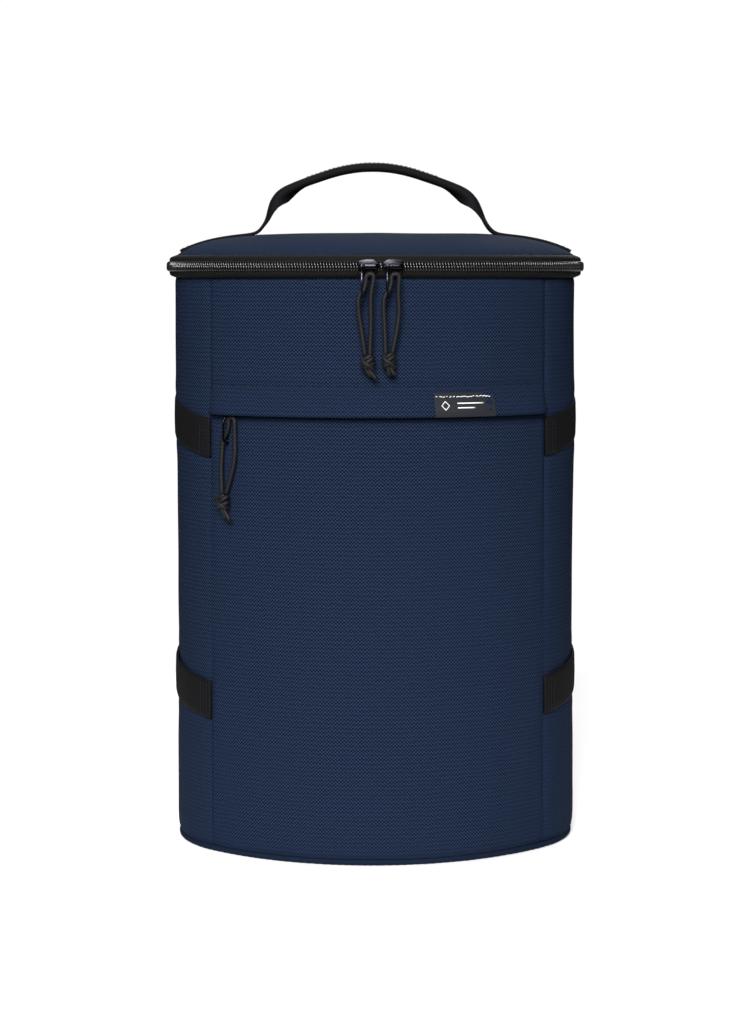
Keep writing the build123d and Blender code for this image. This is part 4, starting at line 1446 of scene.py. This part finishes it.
class COOLER_OT_rim_zip(bpy.types.Operator):
    """Rim zip: knitted tapes, interlocked coil and end tabs"""

    bl_idname = "cooler.rim_zip"
    bl_label = "Rim zip"

    def execute(self, context):
        reach = FRONT_HALF + SIDE_RUN
        zip_mm = ZIP_HEIGHT / MM
        for label, up, body in (("body", -1, "bag"), ("lid", 1, "lid")):
            section = [
                (4.75, 0.7), (4.75, 3.2), (4.6, 5.0), (3.9, 6.0), (2.2, 6.6), (0.2, 7.5), (-0.7, 7.5),
                (-0.7, 6.7), (2.0, 5.9), (3.6, 5.1), (4.1, 4.2), (4.15, 3.2), (4.15, 0.7),
            ]
            outline = [(grow, zip_mm + up * z) for grow, z in section]
            tape = ring_strip(
                f"zip_tape_{label}_knit", -reach + 2 * MM, reach - 2 * MM, outline,
                rough=lambda s, up=up: 0.18 * MM * wave(s, up * 0.1, 14 * MM, 51) + 0.1 * MM * math.sin(
                    2 * math.pi * s / (8.5 * MM)
                ),
            )
            placed(tape, "knitted zip tape", "zip_tape", body, f"zip_tape_{label}")
            pitch = sizes().coil_pitch
            coil = coil_row(
                f"zip_coil_{label}_turns", -reach + 4 * MM, reach - 4 * MM, up, ZIP_HEIGHT, 4.5 * MM, 0.92,
                pitch, 0.0 if up < 0 else 0.5,
            )
            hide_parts(f"zip_coil_{label}")
            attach(coil, body)
            line = [
                on_wall(s, 1.9 * MM + 0.6 * MM, ZIP_HEIGHT + up * 6.35 * MM)
                for s in spread(-reach + 4 * MM, reach - 4 * MM, 2 * MM)
            ]
            normals = [
                (plan(s)[1] + Vector((0, 0, up * 1.2))).normalized()
                for s in spread(-reach + 4 * MM, reach - 4 * MM, 2 * MM)
            ]
            row = stitches(
                f"zip_stitch_{label}", line, normals, finish("black thread"), 0.4 * MM, 2.6 * MM
            )
            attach(row, body)
        for side in (-1, 1):
            start, end = reach + 0.8 * MM, reach + 9.5 * MM
            outline = [
                (1.3, 371.6), (3.6, 371.4), (4.6, 372.2), (4.9, 374.5), (4.6, 377.2), (3.4, 377.6),
                (1.3, 377.5),
            ]
            tab = ring_strip(
                f"zip_end_tab_{'left' if side < 0 else 'right'}", side * start, side * end, outline,
                0.8 * MM, lambda s: 0.15 * MM * wave(s, 0, 4 * MM, 61),
            )
            placed(
                tab, "woven binding tape", "binding_tape", "bag",
                f"zip_tab_{'left' if side < 0 else 'right'}",
            )
        return {"FINISHED"}


class COOLER_OT_pocket_zip(bpy.types.Operator):
    """Pocket zip behind the hood"""

    bl_idname = "cooler.pocket_zip"
    bl_label = "Pocket zip"

    def execute(self, context):
        reach = FRONT_HALF - 7 * MM
        chain = POCKET_ZIP / MM
        for label, up, low, high in (("lower", -1, 275.2, chain - 0.6), ("upper", 1, chain + 0.6, 301.8)):
            outline = [(-3.25, low), (-3.25, high), (-2.95, high), (-2.95, low)]
            tape = ring_strip(f"pocket_tape_{label}_knit", -reach, reach, outline, 3 * MM)
            placed(tape, "knitted zip tape", "zip_tape", "bag", f"pocket_zip_tape_{label}")
            coil = coil_row(
                f"pocket_coil_{label}_turns", -reach, reach, up, POCKET_ZIP, -2.95 * MM, 0.66, 1.5 * MM,
                0.0 if up < 0 else 0.5,
            )
            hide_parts(f"pocket_zip_coil_{label}")
            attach(coil, "bag")
        return {"FINISHED"}


# ---------------------------------------------------------------- webbing


def webbing(name, spine, section, ribs=True):
    """Grosgrain along a spine. section(distance) gives its middle line as (across, up) offsets."""
    thickness = sizes().webbing_thickness
    rows, uvs = [], []
    walked = 0.0
    for i, (point, across, up) in enumerate(spine):
        if i:
            walked += (point - spine[i - 1][0]).length
        middle = section(walked)
        rib = 0.10 * MM * math.cos(2 * math.pi * walked / sizes().rib_pitch) if ribs else 0
        ring = []
        count = len(middle)
        normals = []
        for j in range(count):
            a, b = Vector(middle[max(j - 1, 0)]), Vector(middle[min(j + 1, count - 1)])
            d = (b - a).normalized()
            normals.append(Vector((-d.y, d.x)))
        for j in range(count):
            edge = 0.55 if j in (0, count - 1) else 1.0
            q = Vector(middle[j]) + normals[j] * (thickness / 2 + rib) * edge
            ring.append(point + across * q.x + up * q.y)
        for j in reversed(range(count)):
            edge = 0.55 if j in (0, count - 1) else 1.0
            q = Vector(middle[j]) - normals[j] * (thickness / 2 + rib) * edge
            ring.append(point + across * q.x + up * q.y)
        rows.append(ring)
        uvs.append(walked)
    count = len(rows[0])
    made = grid(
        name, rows, lambda r, c: (25 * MM * 2 * c / count, uvs[min(r, len(uvs) - 1)]), close_columns=True
    )
    return closed_up(made)


class COOLER_OT_straps(bpy.types.Operator):
    """Four side straps, sewn into the seams with three rows of stitches"""

    bl_idname = "cooler.straps"
    bl_label = "Side straps"

    def execute(self, context):
        half = sizes().webbing_width / 2
        across = [half * (i / 6 - 1) for i in range(13)]
        for name, (side, height, rise) in STRAPS.items():
            spine = []
            run = spread(FRONT_HALF + 0.2 * MM, FRONT_HALF + SIDE_RUN - 0.2 * MM, 0.375 * MM)
            for s in run:
                z = strap_height(side * s, height, rise)
                edge = min(s - FRONT_HALF, FRONT_HALF + SIDE_RUN - s)
                sunk = -1.0 * MM * math.exp(-edge / (1.6 * MM))
                point, out = plan(side * s, 0.75 * MM + sunk + 0.35 * MM * wave(s, z, 50 * MM, 71))
                point.z = z
                spine.append((point, Vector((0, 0, 1)), out))
            strap = webbing(
                f"{name}_webbing", spine,
                lambda walked: [(a, 0.12 * MM * math.cos(a / half * 3)) for a in across],
            )
            placed(strap, "grosgrain webbing", "webbing", "bag", name)
            rows = []
            for inset in (2.6, 5.2, 7.8):
                for end in (0, 1):
                    s = side * (FRONT_HALF + inset * MM if end == 0 else FRONT_HALF + SIDE_RUN - inset * MM)
                    z = strap_height(s, height, rise)
                    point, out = plan(s, 1.8 * MM)
                    line = [
                        Vector((point.x, point.y, z + a))
                        for a in spread(-half + 1.5 * MM, half - 1.5 * MM, 1 * MM)
                    ]
                    rows.append(
                        stitches(
                            f"row_{name}_{inset}_{end}", line, [out] * len(line), finish("black thread"),
                            0.5 * MM, 2.4 * MM,
                        )
                    )
            row = joined(f"{name}_stitches", rows)
            dressed(row, finish("black thread"))
            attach(row, "bag")
        return {"FINISHED"}


def handle_spine():
    """The handle's line over the lid, from rim to rim, with the outward direction at each point."""
    lying = [(x, lid_height(x * MM) / MM + 0.2) for x in (128.6, 122, 112, 102, 92, 84)]
    right = [
        *lying, (78.4, lid_height(78 * MM) / MM + 1.0), (74.6, 404.0), (71.6, 409.0), (69.6, 415.0),
        (66.9, 421.2), (61.4, 427.1), (51.0, 431.3), (38.0, 435.9), (23.0, 440.8), (10.0, 443.1),
    ]
    lean = [(1.6 * min(1.0, max(0.0, (z - 408) / 24))) for _, z in right]
    points = [(-x - d, z) for (x, z), d in zip(right, lean)] + [(-1.6, 443.5)] + [
        (x - d, z) for (x, z), d in reversed(list(zip(right, lean)))
    ]
    line = smooth_line([Vector((x * MM, 0, z * MM)) for x, z in points], 16)
    return evenly(line, 0.375 * MM)


# The handle's webbing lies flat this far from each end, and folds double over the next stretch
FLAT_END = 50 * MM
FOLDING = 52 * MM


class COOLER_OT_handle(bpy.types.Operator):
    """Handle: one webbing, folded double and sewn at the grip, opened flat along the lid"""

    bl_idname = "cooler.handle"
    bl_label = "Handle"

    def execute(self, context):
        line = handle_spine()
        half = sizes().webbing_width / 2
        spine = []
        count = len(line)
        for i, point in enumerate(line):
            ahead = (line[min(i + 1, count - 1)] - line[max(i - 1, 0)]).normalized()
            across = Vector((0, 1, 0))
            spine.append((point, across, ahead.cross(across) * -1))

        length = distances(line)[-1]

        def fold(walked):
            """Middle line of the section: flat near the lid, folded double at the grip."""
            level = (min(walked, length - walked) - FLAT_END) / FOLDING
            closed = min(1.0, max(0.0, level))
            closed = closed * closed * (3 - 2 * closed)
            bend = -math.pi * closed
            radius = 1.9 * MM
            arc = math.pi * radius
            turned = (half - arc / 2) * closed**1.5
            leg = 2 * half - arc - turned
            angle = math.pi
            at = Vector((half, 0.0))
            found = [at.copy()]
            for _ in range(5):
                at = at + Vector((math.cos(angle), math.sin(angle))) * leg / 5
                found.append(at.copy())
            for _ in range(8):
                angle += bend / 8
                at = at + Vector((math.cos(angle - bend / 16), math.sin(angle - bend / 16))) * arc / 8
                found.append(at.copy())
            for _ in range(5):
                at = at + Vector((math.cos(angle), math.sin(angle))) * turned / 5
                found.append(at.copy())
            left = min(p.x for p in found)
            right = max(p.x for p in found)
            shift = Vector(((left + right) / 2, min(p.y for p in found) + radius * closed))
            return [tuple(p - shift) for p in found]

        made = webbing("handle_webbing", spine, fold)
        dressed(made, finish("grosgrain webbing"))
        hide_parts("handle_grip", "handle_end_left", "handle_end_right")
        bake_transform(made)
        grip = [(p, up) for p, _, up in spine if p.z > 434 * MM]
        line_up = [p + Vector((0, -4.2 * MM, 0)) - up * 2.8 * MM for p, up in grip]
        row = stitches(
            "handle_topstitch", line_up, [-up for _, up in grip], finish("black thread"),
            0.5 * MM,
        )
        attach(row, "handle")
        ends = []
        for side in (-1, 1):
            for x in (127.0, 124.0):
                z = lid_height(x * MM) + 1.1 * MM
                across_line = [Vector((side * x * MM, y, z)) for y in spread(-11 * MM, 11 * MM, 1 * MM)]
                ends.append(
                    stitches(
                        f"end_{side}_{x}", across_line,
                        [Vector((side * 0.3, 0, 1)).normalized()] * len(across_line),
                        finish("black thread"), 0.5 * MM,
                    )
                )
        sewn = joined("handle_end_stitches", ends)
        dressed(sewn, finish("black thread"))
        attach(sewn, "lid")
        return {"FINISHED"}


# ---------------------------------------------------------------- label


# Where the label starts round the front arc and how much of it the label takes, in degrees
LABEL_START = 11.5
LABEL_SPAN = 13.6


class COOLER_OT_label(bpy.types.Operator):
    """Woven label on the hood, with a plain diamond and bars"""

    bl_idname = "cooler.label"
    bl_label = "Label"

    def execute(self, context):
        middle = math.radians(LABEL_START + LABEL_SPAN / 2) * FRONT_RADIUS
        half = math.radians(LABEL_SPAN / 2) * FRONT_RADIUS
        start, end = middle - half, middle + half
        profile = [
            (7.9, 284.0), (8.15, 285.2), (8.1, 287.5), (7.1, 291.3), (5.4, 294.9), (3.5, 298.5),
            (3.1, 299.3),
        ]

        def face(s, share):
            line, _ = resampled([(g * MM, z * MM) for g, z in profile], 0.2 * MM)
            grow, z = line[min(len(line) - 1, round(share * (len(line) - 1)))]
            return grow + 0.12 * MM * wave(s, z, 9 * MM, 81), z

        cloth = wall_sheet(
            "label_cloth", start, end, profile, 0.5 * MM, 0.8 * MM,
            lambda s, z: 0.1 * MM * wave(s, z, 9 * MM, 81) + 0.1 * MM * math.exp(
                -min(s - start, end - s) / (1 * MM)
            ),
        )
        placed(cloth, "damask label", "label_weave", "bag", "label")

        luck = random.Random(5)
        line, normals = [], []
        for s in spread(start + 0.8 * MM, end - 0.8 * MM, 0.8 * MM):
            z = 296.6 * MM + luck.uniform(-0.22, 0.22) * MM
            line.append(on_wall(s, 4.75 * MM, z))
            normals.append((plan(s)[1] + Vector((0, 0, 0.5))).normalized())
        sewn = stitches(
            "label_stitches", line, normals, finish("white thread"), 0.55 * MM, 2.3 * MM,
            gap=0.28, uneven=0.5,
        )
        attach(sewn, "bag")

        marks = []

        def bar(a, b, u, v, wide=0.5):
            """A woven bar on the label, from (a, u) to (b, v) in millimetres from its lower left corner."""
            spots = []
            for t in (0, 0.25, 0.5, 0.75, 1):
                s = start + (a + (b - a) * t) * MM
                height = u + (v - u) * t
                grow, z = face(s, height / 17.5)
                spots.append(on_wall(s, grow + 0.12 * MM, z))
            marks.append(tube("bar", spots, lambda far, angle: wide * MM / 2, 6))

        for a, b, u, v in (
            (4.0, 6.4, 8.0, 11.0), (6.4, 8.8, 11.0, 8.0), (8.8, 6.4, 8.0, 5.0), (6.4, 4.0, 5.0, 8.0)
        ):
            bar(a, b, u, v)
        for row, length in ((9.6, 17), (6.4, 11)):
            bar(14.0, 14.0 + length, row, row, 0.8)
        mark = joined("label_marks", marks)
        dressed(mark, finish("white thread"))
        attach(mark, "bag")
        return {"FINISHED"}


# ---------------------------------------------------------------- inside


def inner_grow(s, gap):
    """How far in the liner stands: deeper in behind the pocket."""
    centred = (s + ROUND / 2) % ROUND - ROUND / 2
    edge = (FRONT_HALF - 2 * MM - abs(centred)) / (3 * MM)
    share = min(1.0, max(0.0, edge))
    return -(7.4 + 4.6 * share * share * (3 - 2 * share)) * MM - gap


class COOLER_OT_inside(bpy.types.Operator):
    """Silver liner, its bindings, and finishes for the hidden foam and board"""

    bl_idname = "cooler.inside"
    bl_label = "Liner and foam"

    def execute(self, context):
        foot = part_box("liner_wall")[0].z
        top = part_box("liner_wall")[1].z
        columns = spread(0, ROUND, 3 * MM)[:-1]
        heights = spread(foot + 0.2 * MM, top, 4 * MM)
        rows = [
            [
                on_wall(
                    s,
                    inner_grow(s, 0.1 * MM) - 0.55 * MM * (
                        0.5 + 0.5 * noise.noise(Vector((*(plan(s)[0] * 45).xy, z * 45)))
                    ),
                    z,
                )
                for s in columns
            ]
            for z in heights
        ]
        wall = grid("liner_wall_film", rows, lambda r, c: (c * 3 * MM, r * 4 * MM), close_columns=True)
        thickened(wall, 0.3 * MM, 1.0)
        floor_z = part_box("liner_floor")[0].z
        shares = [1, 0.97, 0.93, *[0.93 * (1 - i / 20) for i in range(1, 20)], 0.01]
        floor_rows = []
        for share in shares:
            row = []
            for s in columns:
                p = on_wall(s, inner_grow(s, 0.9 * MM), 0) * share
                p.z = floor_z + 0.35 * MM + 0.2 * MM * noise.noise(p * 50)
                row.append(p)
            floor_rows.append(row)
        floor = grid(
            "liner_floor_film", floor_rows, lambda r, c: (c * 3 * MM, r * 5 * MM), close_columns=True
        )
        thickened(floor, 0.25 * MM)
        under = []
        for inset in (7.5, 9, 12, 16, 21, 27, 34, 42, 51):
            row = []
            for s in columns:
                p, _ = plan(s, -inset * MM)
                p.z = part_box("lid_liner")[0].z + 0.4 * MM + (inset - 7.4) / (52 - 7.4) * 12.6 * MM
                p.z -= 0.3 * MM * (0.5 + 0.5 * noise.noise(p * 60)) * min(1, (inset - 7) / 6)
                row.append(p)
            under.append(row)
        crown = under[-1][0].z
        for share in (0.8, 0.55, 0.3, 0.02):
            under.append([Vector((p.x * share, p.y * share, crown + 0.1 * MM)) for p in under[8]])
        ceiling = grid("lid_liner_film", under, lambda r, c: (c * 3 * MM, r * 5 * MM), close_columns=True)
        ceiling.data.flip_normals()
        thickened(ceiling, 0.25 * MM)
        for made, node, body in (
            (wall, "liner_wall", "bag"), (floor, "liner_floor", "bag"), (ceiling, "lid_liner", "lid")
        ):
            placed(made, "silver liner film", "liner_film", body, node)

        for label, body, low, up in (("rim_binding", "bag", 375.62, 1), ("lid_binding", "lid", 378.08, -1)):
            rows = []
            for s in columns:
                inner = inner_grow(s, 0.75 * MM) / MM if body == "bag" else -8.15
                wide = -1.3 - inner
                outline = [
                    (-1.3, 0), (-1.5, 0.55), (-2.4, 0.85), (-1.3 - wide * 0.5, 0.92), (inner + 1.1, 0.85),
                    (inner + 0.2, 0.55), (inner, 0),
                ]
                ripple = 0.1 * math.sin(2 * math.pi * s / (7 * MM))
                rows.append([on_wall(s, g * MM, (low + up * h * (1 + ripple)) * MM) for g, h in outline])
            tape = grid(
                f"{label}_tape", rows, lambda r, c: (c * 1.1 * MM, r * 3 * MM), close_rows=True,
                close_columns=True,
            )
            placed(closed_up(tape), "woven binding tape", "binding_tape", body, label)
        for node, name in (
            ("wall_foam", "closed-cell foam"), ("base_foam", "closed-cell foam"),
            ("lid_foam", "closed-cell foam"), ("base_board", "base board"),
        ):
            inner = frame["nodes"][node]
            inner.data.materials.clear()
            inner.data.materials.append(finish(name))
        return {"FINISHED"}


# ---------------------------------------------------------------- panel and running order

STEPS = (
    COOLER_OT_stage,
    COOLER_OT_pull_cords,
    COOLER_OT_pullers,
    COOLER_OT_sliders,
    COOLER_OT_walls,
    COOLER_OT_front,
    COOLER_OT_base,
    COOLER_OT_lid,
    COOLER_OT_rim_zip,
    COOLER_OT_pocket_zip,
    COOLER_OT_straps,
    COOLER_OT_handle,
    COOLER_OT_label,
    COOLER_OT_inside,
)


class COOLER_PT_panel(bpy.types.Panel):
    """Lists the bag's pieces in the order they are made"""

    bl_idname = "COOLER_PT_panel"
    bl_label = "Cooler bag"
    bl_space_type = "VIEW_3D"
    bl_region_type = "UI"
    bl_category = "Cooler bag"

    def draw(self, context):
        column = self.layout.column(align=True)
        for step in STEPS:
            column.operator(step.bl_idname)
        for group in (context.scene.cooler_sizes, context.scene.cooler_colours):
            for name in group.__annotations__:
                self.layout.prop(group, name)


CLASSES = (CoolerSizes, CoolerColours, *STEPS, COOLER_PT_panel)


def register():
    for made in CLASSES:
        bpy.utils.register_class(made)
    bpy.types.Scene.cooler_sizes = bpy.props.PointerProperty(type=CoolerSizes)
    bpy.types.Scene.cooler_colours = bpy.props.PointerProperty(type=CoolerColours)


def unregister():
    del bpy.types.Scene.cooler_colours
    del bpy.types.Scene.cooler_sizes
    for made in reversed(CLASSES):
        bpy.utils.unregister_class(made)


def main():
    register()
    for step in STEPS:
        group, name = step.bl_idname.split(".")
        getattr(getattr(bpy.ops, group), name)()


if __name__ == "__main__":
    main()
